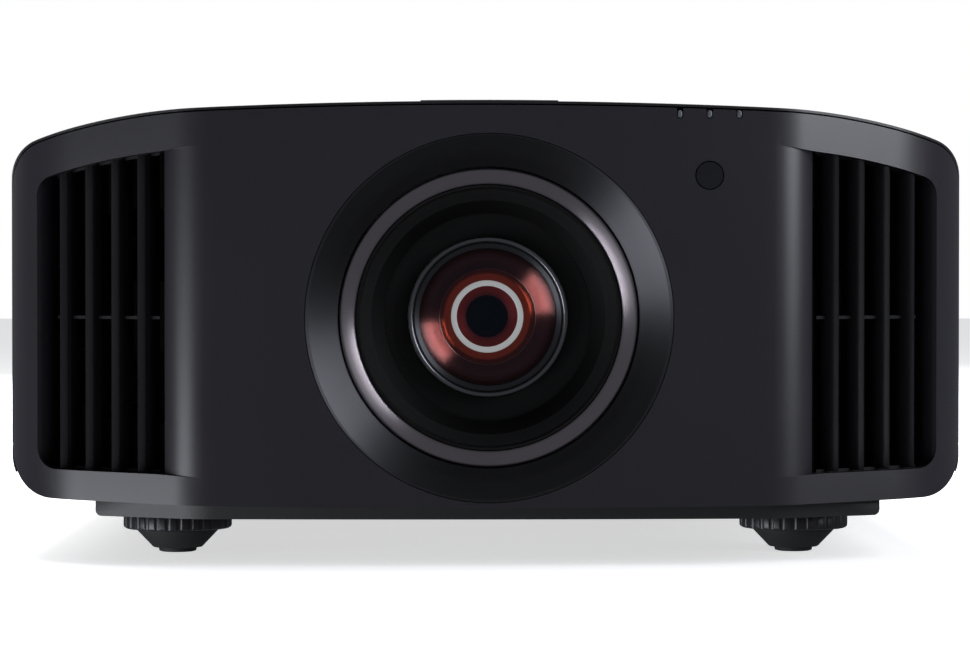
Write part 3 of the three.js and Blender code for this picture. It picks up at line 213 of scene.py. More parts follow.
def prism(name: str, points: Sequence[Point], plane: Plane, span: Point) -> bpy.types.Object:
    """A solid with a flat outline, drawn out along the plane's third axis."""
    piece = chain(name, points, plane, span[0], closed=True)
    with editing(piece):
        bpy.ops.mesh.edge_face_add()
        move = Vector(plane.value[2]) * (span[1] - span[0]) * MM
        bpy.ops.mesh.extrude_region_move(TRANSFORM_OT_translate={"value": move})
        bpy.ops.mesh.select_all(action="SELECT")
        bpy.ops.mesh.normals_make_consistent(inside=False)
    return piece


def block(name: str, x: Point, y: Point, z: Point) -> bpy.types.Object:
    """A rectangular solid between limits on X, Y and Z."""
    return prism(name, rectangle(x, z), Plane.XZ, y)


def turned(
    name: str,
    profile: Sequence[Point],
    centre: Place,
    steps: int = 160,
    upright: bool = False,
    closed: bool = True,
) -> bpy.types.Object:
    """A solid of revolution, spun from a profile of (radius, distance along the axis).

    Args:
        name: the new object's name.
        profile: the profile's points.
        centre: the point of the axis that distances count from.
        steps: how many facets go round.
        upright: about a line along +Z, else about one along +Y.
        closed: whether the profile closes on itself, or starts and ends on the axis.

    Returns:
        The spun solid.
    """
    plane = Plane.XZ if upright else Plane.XY
    along = centre[2] if upright else centre[1]
    placed = [(centre[0] + radius, along + distance) for radius, distance in profile]
    piece = chain(name, placed, plane, centre[1] if upright else centre[2], closed)
    axis = (0, 0, 1) if upright else (0, 1, 0)
    with editing(piece):
        bpy.ops.mesh.spin(steps=steps, angle=2 * math.pi, center=Vector(centre) * MM, axis=axis)
        bpy.ops.mesh.select_all(action="SELECT")
        bpy.ops.mesh.remove_doubles(threshold=2e-6)
        bpy.ops.mesh.normals_make_consistent(inside=False)
    return piece


def combine(body: bpy.types.Object, how: Join, *tools: bpy.types.Object) -> bpy.types.Object:
    """Join, cut or keep a solid by others, which are used up."""
    for tool in tools:
        choose(body)
        step = body.modifiers.new(how.name.lower(), "BOOLEAN")
        step.operation = how.value
        step.solver = "EXACT"
        step.object = tool
        bpy.ops.object.modifier_apply(modifier=step.name)
        bpy.data.objects.remove(tool, do_unlink=True)
    return body


def soften(piece: bpy.types.Object, width: float, angle: float = 35.0, segments: int = 3) -> bpy.types.Object:
    """Round a piece's sharp edges by a width in millimetres."""
    with editing(piece):
        bpy.ops.mesh.remove_doubles(threshold=5e-6)
        bpy.ops.mesh.dissolve_limited(angle_limit=math.radians(0.2))
    step = piece.modifiers.new("edges", "BEVEL")
    step.width = width * MM
    step.segments = segments
    step.limit_method = "ANGLE"
    step.angle_limit = math.radians(angle)
    step.use_clamp_overlap = True
    step.harden_normals = False
    choose(piece)
    bpy.ops.object.modifier_apply(modifier=step.name)
    return piece


def shade(piece: bpy.types.Object, angle: float = 28.0) -> bpy.types.Object:
    """Smooth shading across edges flatter than an angle in degrees."""
    choose(piece)
    bpy.ops.object.shade_smooth_by_angle(angle=math.radians(angle))
    return piece


def even(piece: bpy.types.Object) -> bpy.types.Object:
    """Give large faces the say in the shading, so that a small rounded edge leaves them plain."""
    step = piece.modifiers.new("normals", "WEIGHTED_NORMAL")
    step.keep_sharp = True
    step.weight = 100
    choose(piece)
    bpy.ops.object.modifier_apply(modifier=step.name)
    return piece


def copy_of(piece: bpy.types.Object, name: str, move: Place = (0, 0, 0)) -> bpy.types.Object:
    """A copy with a mesh of its own, moved by millimetres."""
    choose(piece)
    bpy.ops.object.duplicate()
    copy = bpy.context.object
    copy.location = Vector(move) * MM
    return settle(copy, name)


def mirror_of(piece: bpy.types.Object, name: str) -> bpy.types.Object:
    """A mirror image across the middle of the case, with its own mesh and its faces outwards."""
    copy = copy_of(piece, name)
    with editing(copy):
        bpy.ops.transform.resize(value=(-1, 1, 1), center_override=(0, 0, 0))
        bpy.ops.mesh.normals_make_consistent(inside=False)
    return copy


def merge(name: str, pieces: Sequence[bpy.types.Object]) -> bpy.types.Object:
    """Join separate pieces into one object."""
    choose(*pieces)
    bpy.ops.object.join()
    return settle(bpy.context.object, name)


# ------------------------------------------------------------------ finishes


def linear(code: str) -> tuple[float, float, float, float]:
    """An sRGB hex colour as linear values with full alpha."""
    parts = [int(code[i : i + 2], 16) / 255 for i in (1, 3, 5)]
    red, green, blue = (p / 12.92 if p <= 0.04045 else ((p + 0.055) / 1.055) ** 2.4 for p in parts)
    return (red, green, blue, 1.0)


def add_node(tree: Tree, kind: str, settings: dict | None = None, **inputs) -> Shader:
    """Add a node with its settings, values and links.

    Args:
        tree: the node tree.
        kind: the node's type name.
        settings: the node's own properties.
        **inputs: socket names, with spaces as underscores, to a value or to a socket to link from.

    Returns:
        The new node.
    """
    node = tree.nodes.new(kind)
    for key, value in (settings or {}).items():
        setattr(node, key, value)
    for key, value in inputs.items():
        socket = node.inputs[int(key[1:])] if key[0] == "_" else node.inputs[key.replace("_", " ")]
        if isinstance(value, Socket):
            tree.links.new(value, socket)
        else:
            socket.default_value = value
    return node


@dataclass(frozen=True)
class Finish:
    """A surface: what it is made of and how it was made.

    `grain` is the size of its bumps and `relief` their height, `cloud` the size of its faint
    colour and gloss variation, all in millimetres; `vary` is the share that colour changes by.
    """

    name: str
    colour: str
    roughness: float
    metallic: float = 0.0
    grain: float = 0.6
    relief: float = 0.01
    cloud: float = 40.0
    vary: float = 0.12
    smear: float = 0.04
    coat: float = 0.0
    coat_roughness: float = 0.1
    specular: float = 0.5
    # glow is painted light: an emission strength on a part that is no lamp.
    glow: float = 0.0

    def material(self) -> bpy.types.Material:
        """The finish's material, made once."""
        if self.name in bpy.data.materials:
            return bpy.data.materials[self.name]
        made = bpy.data.materials.new(self.name)
        made.use_nodes = True
        tree = made.node_tree
        tree.nodes.clear()
        place = add_node(tree, "ShaderNodeTexCoord").outputs["Object"]
        shader = add_node(tree, "ShaderNodeBsdfPrincipled", None, **self.constants())
        self.colouring(tree, place, shader)
        self.surface(tree, place, shader)
        add_node(tree, "ShaderNodeOutputMaterial", None, Surface=shader.outputs[0])
        return made

    def constants(self) -> dict:
        """Values that are the same all over the surface."""
        return {
            "Metallic": self.metallic,
            "Coat_Weight": self.coat,
            "Coat_Roughness": self.coat_roughness,
            "Specular_IOR_Level": self.specular,
            "Emission_Color": (1.0, 1.0, 1.0, 1.0),
            "Emission_Strength": self.glow,
        }

    def colouring(self, tree: Tree, place: Socket, shader: Shader) -> None:
        """Colour and gloss that drift a little across the piece."""
        scale = 1 / (self.cloud * MM)
        cloud = add_node(tree, "ShaderNodeTexNoise", None, Vector=place, Scale=scale, Detail=4.0)
        base = linear(self.colour)[:3]
        dark = tuple(c * (1 - self.vary) for c in base) + (1.0,)
        light = tuple(c * (1 + self.vary) for c in base) + (1.0,)
        drift = cloud.outputs["Fac"]
        mix = add_node(tree, "ShaderNodeMix", {"data_type": "RGBA"}, _0=drift, _6=dark, _7=light)
        tree.links.new(mix.outputs[2], shader.inputs["Base Color"])
        gloss = add_node(
            tree,
            "ShaderNodeMapRange",
            None,
            Value=drift,
            To_Min=max(0.02, self.roughness - self.smear),
            To_Max=self.roughness + self.smear,
        )
        tree.links.new(gloss.outputs[0], shader.inputs["Roughness"])

    def surface(self, tree: Tree, place: Socket, shader: Shader) -> None:
        """Fine grain as a bump."""
        scale = 1 / (self.grain * MM)
        grain = add_node(tree, "ShaderNodeTexNoise", None, Vector=place, Scale=scale, Detail=3.0)
        bump = add_node(
            tree, "ShaderNodeBump", None, Strength=1.0, Distance=self.relief * MM, Height=grain.outputs["Fac"]
        )
        tree.links.new(bump.outputs[0], shader.inputs["Normal"])


@dataclass(frozen=True)
class SparkGrain(Finish):
    """Moulded plastic with the leathery cells that spark erosion leaves in the tool."""

    def surface(self, tree: Tree, place: Socket, shader: Shader) -> None:
        """Rounded cells instead of plain noise."""
        cells = add_node(
            tree,
            "ShaderNodeTexVoronoi",
            {"feature": "SMOOTH_F1"},
            Vector=place,
            Scale=1 / (self.grain * MM),
            Smoothness=0.6,
        )
        height = cells.outputs["Distance"]
        bump = add_node(tree, "ShaderNodeBump", None, Strength=1.0, Distance=self.relief * MM, Height=height)
        tree.links.new(bump.outputs[0], shader.inputs["Normal"])


@dataclass(frozen=True)
class LatheTurned(Finish):
    """Metal faced on a lathe: rings about an axis along Y, `pitch` apart.

    The rings spread a light into two opposite fans, which `spread` sets from 0, round, to 1.
    `dish` is the extra slope of a polished face that is too shallow to show one, and `core` the
    colour near the axis, which gives way to the main colour at `core_radius` millimetres.
    """

    pitch: float = 0.25
    centre: Place = (0.0, 0.0, 0.0)
    spread: float = 0.8
    dish: float = 0.0
    core: str = ""
    core_radius: float = 10.0

    def constants(self) -> dict:
        """The finish's values with the stretch of its highlights."""
        return {**super().constants(), "Anisotropic": self.spread}

    def surface(self, tree: Tree, place: Socket, shader: Shader) -> None:
        """Tool marks as rings, and highlights drawn out across them."""
        moved = tuple(-c * MM for c in self.centre)
        centred = add_node(
            tree, "ShaderNodeMapping", None, Vector=place, Location=moved, Scale=(1.0, 0.0, 1.0)
        ).outputs[0]
        reach = add_node(tree, "ShaderNodeVectorMath", {"operation": "LENGTH"}, _0=centred).outputs["Value"]
        if self.core:
            self.two_tone(tree, reach, shader)
        outwards = add_node(tree, "ShaderNodeVectorMath", {"operation": "NORMALIZE"}, _0=centred)
        tree.links.new(outwards.outputs[0], shader.inputs["Tangent"])
        rings = add_node(
            tree,
            "ShaderNodeTexWave",
            {"wave_type": "RINGS", "rings_direction": "Y"},
            Vector=centred,
            Scale=0.314 / (self.pitch * MM),
            Distortion=0.4,
            Detail=2.0,
        )
        bump = add_node(
            tree, "ShaderNodeBump", None, Strength=1.0, Distance=self.relief * MM, Height=rings.outputs["Fac"]
        )
        if self.dish:
            bump = add_node(tree, "ShaderNodeBump", None, Strength=1.0, Distance=self.dish, Height=reach)
        tree.links.new(bump.outputs[0], shader.inputs["Normal"])

    def two_tone(self, tree: Tree, reach: Socket, shader: Shader) -> None:
        """Blend from the core's colour near the axis to the main colour."""
        share = add_node(
            tree,
            "ShaderNodeMapRange",
            None,
            Value=reach,
            From_Min=self.core_radius * 0.8 * MM,
            From_Max=self.core_radius * 1.2 * MM,
        ).outputs[0]
        near, far = linear(self.core), linear(self.colour)
        mix = add_node(tree, "ShaderNodeMix", {"data_type": "RGBA"}, _0=share, _6=near, _7=far)
        tree.links.new(mix.outputs[2], shader.inputs["Base Color"])


@dataclass(frozen=True)
class Brushed(Finish):
    """Metal drawn or brushed one way, so that its scratches run along X."""

    stretch: float = 30.0

    def surface(self, tree: Tree, place: Socket, shader: Shader) -> None:
        """Noise stretched along the brushing."""
        scale = 1 / (self.grain * MM)
        drawn = add_node(
            tree, "ShaderNodeMapping", None, Vector=place, Scale=(scale / self.stretch, scale, scale)
        ).outputs[0]
        scratch = add_node(tree, "ShaderNodeTexNoise", None, Vector=drawn, Scale=1.0, Detail=4.0)
        height = scratch.outputs["Fac"]
        bump = add_node(tree, "ShaderNodeBump", None, Strength=1.0, Distance=self.relief * MM, Height=height)
        tree.links.new(bump.outputs[0], shader.inputs["Normal"])


@dataclass(frozen=True)
class CoatedGlass(Finish):
    """Optical glass, polished and coated: nearly clear, with a tinted reflection."""

    tint: str = "#A8BCD8"
    clear: float = 0.85
    index: float = 2.4

    def constants(self) -> dict:
        """Nearly clear, with the coating's colour in its reflection.

        The high index makes up for what the clearness takes from the reflection.
        """
        return {"Alpha": 1 - self.clear, "IOR": self.index, "Specular_Tint": linear(self.tint)}

    def surface(self, tree: Tree, place: Socket, shader: Shader) -> None:
        """Polished, so it has no bump."""


LENS_AXIS = (0.0, 0.0, 125.2)

# Sprayed satin paint on the moulded front: near black with a violet cast, soft wide highlights.
CASE_PAINT = Finish("satin case paint", "#141218", 0.36, grain=0.5, relief=0.006, cloud=60, vary=0.08)
# Powder coat on folded sheet steel: a little duller than the front, with a faint orange peel.
COVER_PAINT = Finish("powder coated steel", "#121115", 0.40, grain=0.7, relief=0.012, cloud=60, vary=0.08)
# Textured coat on the chassis: small cells that break up every reflection.
CHASSIS_PAINT = SparkGrain("textured chassis coat", "#0D0D0E", 0.52, grain=0.9, relief=0.05)
# Moulded rear panel: the leathery, nearly matt cells of a spark eroded tool.
REAR_PLASTIC = SparkGrain("spark eroded moulding", "#101012", 0.5, grain=0.8, relief=0.04)
# Moulded blades and small parts: satin black, with a clean line of light along each rolled edge.
BLADE_PLASTIC = Finish("satin black moulding", "#0F0E12", 0.42, grain=0.5, relief=0.008)
# Near black moulding deep inside, with almost no reflection: the parts' own black taken down to painted
# shade, so the vents look dark.
BLACK_AND_PAINTED_SHADE = Finish("black moulding with painted shade", "#050506", 0.6, grain=0.8, relief=0.02, specular=0.2)
# Black anodised fins and the supply's case: dark grey with a dull metal gloss.
BLACK_SINK = Finish("black anodised heat sink", "#060607", 0.5, grain=0.4, relief=0.01, specular=0.3)
# Moulded key caps: slightly paler and smoother than the panel around them.
KEY_PLASTIC = Finish("satin key cap", "#19191C", 0.38, grain=0.4, relief=0.006)
# Aluminium turned, then anodised black: two broad grey fans of light across the cone.
BEZEL_BLACK = LatheTurned(
    "black anodised turning",
    "#545457",
    0.42,
    metallic=1.0,
    pitch=0.4,
    relief=0.002,
    smear=0.02,
    centre=LENS_AXIS,
    spread=0.85,
)
# Flocked optical black around the lens: swallows light, so that only the grooves' edges show.
SHROUD_BLACK = Finish("optical black", "#050505", 0.5, grain=0.3, relief=0.008, specular=0.25)
# Hard anodised barrel: dark grey metal with a fine bright line on its rolled rim.
BARREL_BLACK = LatheTurned(
    "hard anodised barrel", "#7A7A7E", 0.32, metallic=1.0, relief=0.002, centre=LENS_AXIS, spread=0.5
)
# Gunmetal anodised trim, diamond turned: sharp silver fans on a warm dark grey.
GUNMETAL = LatheTurned(
    "gunmetal anodised ring",
    "#A49BA0",
    0.3,
    metallic=1.0,
    relief=0.002,
    smear=0.02,
    centre=LENS_AXIS,
    spread=0.88,
)
# Bare turned aluminium deep in the barrel: pale all round, with a painted glow, an emission that stands in
# for the light the lens gathers.
GLOWING_RING = LatheTurned(
    "turned ring with painted glow",
    "#F2F6F8",
    0.45,
    metallic=1.0,
    relief=0.001,
    centre=LENS_AXIS,
    spread=0.3,
    glow=0.36,
)
# Evaporated coating on the second group: copper red towards the iris, grey at its rim.
GROUP_COATING = LatheTurned(
    "copper toned coating",
    "#2C2628",
    0.2,
    metallic=1.0,
    relief=0.0,
    smear=0.02,
    centre=LENS_AXIS,
    spread=0.4,
    dish=0.4,
    core="#95504A",
    core_radius=30.0,
)
# Evaporated coating on the inner cell: amber fans beside the bright ring.
CELL_COATING = LatheTurned(
    "amber toned coating",
    "#7C2E1E",
    0.2,
    metallic=1.0,
    relief=0.0,
    smear=0.02,
    centre=LENS_AXIS,
    spread=0.4,
    dish=0.22,
)
# Filter acrylic, polished: a black disc with one crisp reflection.
SMOKED = Finish("polished smoked window", "#0B0B0E", 0.08, grain=2.0, relief=0.0, coat=0.3)
# Clear acrylic light pipe, unlit: grey, with a small bright point at its upper edge.
LIGHT_PIPE = Finish("clear light pipe", "#3E4146", 0.16, grain=1.0, relief=0.002)
# Moulded rubber foot: matt and slightly dusty.
RUBBER = SparkGrain("moulded rubber", "#0B0B0B", 0.75, grain=0.7, relief=0.05, vary=0.2)
# Optical glass with a cool coating: nearly clear, with small sharp reflections.
FRONT_GLASS = CoatedGlass("coated front glass", "#040405", 0.03, smear=0.01, vary=0.0)
# Coated inner element: blue black in its middle, deep red towards its rim.
INNER_GLASS = LatheTurned(
    "red coated inner glass",
    "#64201F",
    0.1,
    metallic=1.0,
    relief=0.0,
    smear=0.01,
    centre=LENS_AXIS,
    spread=0.0,
    core="#0A1014",
    core_radius=11.5,
)
# Moulded nylon gears: warm off-white, soft sheen.
NYLON = Finish("natural nylon", "#B9B4A6", 0.5, grain=0.8, relief=0.02)
# Deep drawn motor can, plated: scratches that run with the drawing.
MOTOR_CAN = Brushed("plated motor can", "#8B8D90", 0.32, metallic=1.0, grain=0.2, relief=0.004)
# Die cast carriage: pale grey, with the pebbled skin of the die.
CAST_ALUMINIUM = SparkGrain("die cast aluminium", "#A2A4A6", 0.45, metallic=1.0, grain=1.2, relief=0.06)
# Nickel plated steel: bright, with fine lengthwise lines.
PLATED_STEEL = Brushed("nickel plated steel", "#B4B3AE", 0.28, metallic=1.0, grain=0.15, relief=0.003)
# Passivated magnesium casting: dark grey and dull.
ENGINE_CASTING = SparkGrain("passivated casting", "#3A3C3F", 0.5, metallic=0.8, grain=1.5, relief=0.08)
# Circuit board under solder mask: deep green, with patches of darker and lighter copper below.
SOLDER_MASK = Finish("solder masked board", "#0E3B1C", 0.32, grain=1.5, relief=0.02, cloud=12, vary=0.35)
# Gold flash on contacts: small warm glints in the sockets.
CONTACT_GOLD = Finish("plated contact", "#C9A24B", 0.3, metallic=1.0, grain=0.3, relief=0.003)
# Open cell foam: matt and full of pores.
FILTER_FOAM = SparkGrain("filter foam", "#17181A", 0.9, grain=1.6, relief=0.5, vary=0.3)


@dataclass(frozen=True)
class Fitting:
    """Where a piece belongs: its body, its material slot, which is not used, and the CAD nodes it stands for.
    """

    body: str
    slot: str
    nodes: tuple[str, ...] = ()


def install(piece: bpy.types.Object, finish: Finish, fitting: Fitting) -> bpy.types.Object:
    """Dress a finished piece and hang it on its body.

    Args:
        piece: the finished mesh.
        finish: its surface.
        fitting: its body, slot and replaced nodes.

    Returns:
        The same piece.
    """
    piece.data.materials.clear()
    piece.data.materials.append(finish.material())
    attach(piece, fitting.body)
    if fitting.nodes:
        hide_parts(*fitting.nodes)
    LOG.info("%s: %d faces", piece.name, len(piece.data.polygons))
    return piece


# ------------------------------------------------------------------ the case


@dataclass(frozen=True)
class CaseForm:
    """The case's outer shape, in plan and from in front."""

    width: float = 500.0
    depth: float = 505.0
    height: float = 234.0
    wall: float = 3.0
    cover_wall: float = 1.8
    seam: float = 0.8
    setback: float = 1.2
    crown_radius: float = 3300.0
    shoulder_radius: float = 330.0
    edge_radius: float = 26.0
    belly_radius: float = 10240.0
    belly: float = 30.4
    split: float = 58.0
    rear_corner: float = 30.0
    face_radius: float = 2600.0
    bend_radius: float = 55.0
    sweep: float = math.radians(24.7)
    plan_corner: float = 77.0
    scoop_radius: float = 30.0
    vent_side: float = 19.0
    vent_width: float = 68.0
    vent_tip: float = 20.0
    vent_top: float = 20.8
    vent_bottom: float = 15.0
    vent_corner: float = 10.5
    vent_reach: float = 120.0
    tip_rise: float = 3.2
    tip_fall: float = 1.4
    blade_thick: float = 1.8
    blade_reach: float = 9.0
    blade_roll: float = 12.0
    blade_nose: float = math.radians(20)
    blade_hook: float = math.radians(78)

    @property
    def half(self) -> float:
        """Half the case's width."""
        return self.width / 2

    @property
    def front(self) -> float:
        """Y of the front plane."""
        return -self.depth / 2

    @property
    def back(self) -> float:
        """Y of the back plane."""
        return self.depth / 2

    @property
    def lip(self) -> float:
        """How far the panels lie inside the cover's outline."""
        return self.cover_wall + self.seam

    @property
    def vent_outer(self) -> float:
        """X of the right vent's outer edge."""
        return self.half - self.vent_side

    @property
    def vent_inner(self) -> float:
        """X where the rolled face ends and the right vent opens."""
        return self.vent_outer - self.vent_width

    @property
    def tip_x(self) -> float:
        """X of the pointed creases of the right vent."""
        return self.vent_inner - self.vent_tip

    @property
    def face_half(self) -> float:
        """Half the width of the nearly flat middle of the front."""
        return self.tip_x - 5.0

    def front_half(self, inset: float) -> list[Point]:
        """The front face in plan from the middle to the right side, set in by `inset`."""
        face_turn = math.asin(self.face_half / self.face_radius)
        bend_run = self.bend_radius * (math.sin(self.sweep) - math.sin(face_turn))
        corner_run = self.plan_corner * (1 - math.sin(self.sweep))
        straight = (self.half - self.face_half - bend_run - corner_run) / math.cos(self.sweep)
        steps = [
            Arc(self.face_radius - inset, face_turn, 16),
            Arc(self.bend_radius - inset, self.sweep - face_turn, 14),
            Run(straight),
            Arc(self.plan_corner - inset, math.pi / 2 - self.sweep, 20),
        ]
        return walk((0.0, self.front + inset), 0.0, steps)

    def rear_half(self, inset: float) -> list[Point]:
        """The back in plan from the middle to the right side."""
        steps = [Run(self.half - self.rear_corner), Arc(self.rear_corner - inset, -math.pi / 2, 16)]
        return walk((0.0, self.back - inset), 0.0, steps)

    def footprint(self, inset: float, setback: float = 0.0) -> list[Point]:
        """The whole plan, set in all round, with its ends moved inwards by `setback`."""
        ahead = [(x, y + setback) for x, y in self.front_half(inset)]
        behind = [(x, y - setback) for x, y in self.rear_half(inset)][::-1]
        return mirrored(ahead) + ahead[1:] + behind + mirrored(behind)[1:]

    def face_depth(self, x: float) -> float:
        """Depth of the front face behind the front plane at a distance from the middle."""
        points = self.front_half(0.0)
        for (x0, y0), (x1, y1) in zip(points, points[1:]):
            if x0 <= x <= x1:
                return y0 + (y1 - y0) * (x - x0) / (x1 - x0) - self.front
        return points[-1][1] - self.front

    def outline_half(
        self, top: float = 0.0, side: float = 0.0, bottom: float = 0.0, corner: float | None = None
    ) -> list[Point]:
        """The right half seen from in front, from the bottom middle up to the top middle."""
        half = self.half - side
        upper = self.edge_radius - (top + side) / 2 if corner is None else corner
        lower = self.edge_radius - (bottom + side) / 2 if corner is None else corner
        belly = self.belly_radius - bottom
        belly_turn = math.asin((half - lower) / (belly - lower))
        crown, shoulder = self.crown_radius - top, self.shoulder_radius - top
        crown_turn = math.asin((self.half - 100.0) / self.crown_radius)
        reach = half - (crown - shoulder) * math.sin(crown_turn) - upper
        shoulder_turn = math.asin(reach / (shoulder - upper))
        low = walk(
            (0.0, self.belly + bottom),
            0.0,
            [Arc(belly, belly_turn, 8), Arc(lower, math.pi / 2 - belly_turn, 18)],
        )
        high = walk(
            (0.0, self.height - top),
            0.0,
            [
                Arc(crown, -crown_turn, 10),
                Arc(shoulder, crown_turn - shoulder_turn, 16),
                Arc(upper, shoulder_turn - math.pi / 2, 18),
            ],
        )
        return low + high[::-1]

    def outline(self, **insets: float) -> list[Point]:
        """The whole outline seen from in front."""
        half = self.outline_half(**insets)
        return half + mirrored(half)[1:-1]

    def vent_outline(self, grow: float) -> list[Point]:
        """The right vent, parallel to the case and drawn out to a pointed crease inwards."""
        edge = self.outline_half(
            top=self.vent_top - grow,
            side=self.vent_side - grow,
            bottom=self.vent_bottom - grow,
            corner=self.vent_corner + grow,
        )
        outer = [(x, z) for x, z in edge if x > self.vent_inner + 1]
        (x0, z0), (x1, z1) = outer[-1], outer[-2]
        high = z0 - (z1 - z0) / (x1 - x0) * (x0 - self.vent_inner)
        low = outer[0][1]
        return [
            (self.tip_x - grow, low - self.tip_fall),
            (self.vent_inner, low - 0.2),
            *outer,
            (self.vent_inner, high),
            (self.tip_x - grow, high + self.tip_rise),
        ]

    def blade_section(self, start: Point, depth: float) -> list[Point]:
        """A comma in plan: a sharp outboard edge, a face that rolls inwards, and a straight tail."""
        x, y = start
        heading, turn = math.pi - self.blade_nose, self.blade_nose - self.blade_hook
        rear = (x + self.blade_thick * math.sin(heading), y - self.blade_thick * math.cos(heading))
        face = walk(start, heading, [Arc(self.blade_roll, turn, 14)])
        back = walk(rear, heading, [Arc(self.blade_roll - self.blade_thick, turn, 14)])
        end = x - self.blade_reach
        return [*face, (end, y + depth), (end + self.blade_thick, y + depth), *back[::-1]]

    def plan_block(self, name: str, inset: float, setback: float = 0.0) -> bpy.types.Object:
        """A tall solid with the case's plan."""
        return prism(name, self.footprint(inset, setback), Plane.XY, (-SPARE, self.height + SPARE))

    def front_block(self, name: str, **insets: float) -> bpy.types.Object:
        """A deep solid with the case's outline from in front."""
        return prism(name, self.outline(**insets), Plane.XZ, (self.front - SPARE, self.back + SPARE))

    def vent_block(self, name: str, grow: float) -> bpy.types.Object:
        """A deep solid with the right vent's outline."""
        span = (self.front - SPARE, self.front + self.vent_reach)
        return prism(name, self.vent_outline(grow), Plane.XZ, span)

    def face_layer(self, name: str, near: float, far: float) -> bpy.types.Object:
        """The right half of a layer behind the front face, between two depths square to it."""
        outer, inner = self.front_half(near), self.front_half(far)
        return prism(name, outer + inner[::-1], Plane.XY, (-SPARE, self.height + SPARE))


@dataclass(frozen=True)
class CaseShell:
    """The front panel, cover and chassis, with room cut in them for the front and rear panels."""

    form: CaseForm
    lip_depth: float = 10.0
    lip_wall: float = 2.4
    cheek_depth: float = 14.0
    bezel_bore: float = 92.3
    lens_z: float = 125.2
    sensor: Place = (110.0, 196.5, 7.3)
    indicator_pitch: float = 14.9
    tray_bottom: float = 24.2
    tray_half: float = 200.0
    tray_inset: float = 8.0
    strip_half: float = 34.3
    strip_height: float = 0.5
    bracket_x: float = 135.0
    bracket_y: Point = (-42.0, 138.0)

    def scoop(self) -> bpy.types.Object:
        """The rolled-back face between the panel's middle and the right vent."""
        form = self.form
        start = form.face_half + 2.0
        heading = math.asin(start / form.face_radius)
        turn = math.asin((form.vent_inner - start) / form.scoop_radius + math.sin(heading)) - heading
        depth = form.front + form.face_depth(start)
        face = walk((start, depth), heading, [Arc(form.scoop_radius, turn, 24)])
        rear = walk((start, depth + form.wall), heading, [Arc(form.scoop_radius - form.wall, turn, 24)])
        body = prism("scoop", face + rear[::-1], Plane.XY, (0.0, form.height))
        return combine(body, Join.KEEP, form.vent_block("scoop_limit", 0.2))

    def cheek(self) -> bpy.types.Object:
        """The vent's outer wall, shaped as the blades are and joined to the panel's rim."""
        form = self.form
        x = form.vent_outer + 0.2
        section = form.blade_section((x, form.front + form.face_depth(x) + 0.2), self.cheek_depth)
        body = prism("cheek", section, Plane.XY, (0.0, form.height))
        return combine(body, Join.KEEP, form.vent_block("cheek_limit", 0.2))

    def front_panel(self) -> bpy.types.Object:
        """The painted front: layer, return lips, scoops, lens bore and small holes."""
        form = self.form
        inset = {"top": form.lip, "side": form.lip, "bottom": 0.0}
        half = form.face_layer("front_panel", 0.0, form.wall)
        combine(half, Join.KEEP, form.front_block("limit", **inset))
        corner = next(y for x, y in form.front_half(0.0) if x > form.half - form.lip)
        tall = (-SPARE, form.height + SPARE)
        combine(half, Join.KEEP, block("ahead", (-1.0, form.width), (form.front - SPARE, corner), tall))
        lips = form.face_layer("lips", 0.4, self.lip_depth)
        combine(lips, Join.KEEP, form.vent_block("lip_limit", self.lip_wall))
        combine(half, Join.ADD, lips)
        combine(half, Join.CUT, form.vent_block("vent", 0.0))
        combine(half, Join.ADD, self.scoop(), self.cheek())
        other = mirror_of(half, "front_panel_left")
        panel = combine(half, Join.ADD, other)
        through = (form.front - 5, form.front + 30)
        bore = prism("bore", self.circle(0.0, self.lens_z, self.bezel_bore, 192), Plane.XZ, through)
        x, z, radius = self.sensor
        eye = prism("eye", self.circle(x, z, radius, 64), Plane.XZ, through)
        notches = [
            prism(
                "notch",
                rounded(around(x + i * self.indicator_pitch, 3.2), (form.height - 9.2, form.height + 9), 1.4),
                Plane.XZ,
                (form.front - 5, form.front + 9),
            )
            for i in (-1, 0, 1)
        ]
        combine(panel, Join.CUT, bore, eye, *notches)
        return even(shade(soften(panel, 0.5, 30.0, 3)))

    @staticmethod
    def circle(x: float, z: float, radius: float, facets: int) -> list[Point]:
        """A closed circle's points."""
        return walk((x, z - radius), 0.0, [Arc(radius, 2 * math.pi, facets)])[:-1]

    def panel_room(self, ahead: bool) -> bpy.types.Object:
        """The room that the front or rear panel takes, with its seam."""
        form = self.form
        gap = 0.35
        sides = form.front_half(0.0)[-1][1]
        span = (form.front - 10, sides) if ahead else (form.back - form.rear_corner, form.back + 10)
        room = form.plan_block("room", -5.0)
        combine(room, Join.CUT, form.plan_block("room_inner", form.wall + gap))
        combine(room, Join.KEEP, block("room_end", (-300, 300), span, (-20, 260)))
        limit = form.front_block("room_limit", top=form.lip - gap, side=form.lip - gap, bottom=-5.0)
        return combine(room, Join.KEEP, limit)

    def ring(self, name: str, wall: float, lowered: float = 0.0) -> bpy.types.Object:
        """A tube with the case's outline, cut to its plan, its top lowered beside the middle strip."""
        form = self.form
        body = form.front_block(name, top=lowered)
        combine(body, Join.CUT, form.front_block("hollow", top=wall, side=wall, bottom=wall))
        if lowered:
            root = form.height - 2.4 * lowered
            along = (form.front - 6, form.back + 6)
            limit = block("strip_limit", around(0, 2 * self.strip_half), along, (root, form.height + SPARE))
            combine(body, Join.ADD, combine(form.front_block("strip"), Join.KEEP, limit))
        return combine(body, Join.KEEP, form.plan_block("plan", 0.0, form.setback))

    def top_cover(self) -> bpy.types.Object:
        """The folded cover over the top and sides, with a strip left proud along its middle."""
        form = self.form
        body = self.ring("top_cover", form.cover_wall, self.strip_height)
        combine(body, Join.KEEP, block("above", (-300, 300), (-300, 300), (form.split + form.seam / 2, 260)))
        combine(body, Join.CUT, self.panel_room(True), self.panel_room(False))
        return even(shade(soften(body, 0.8, 30.0, 4)))

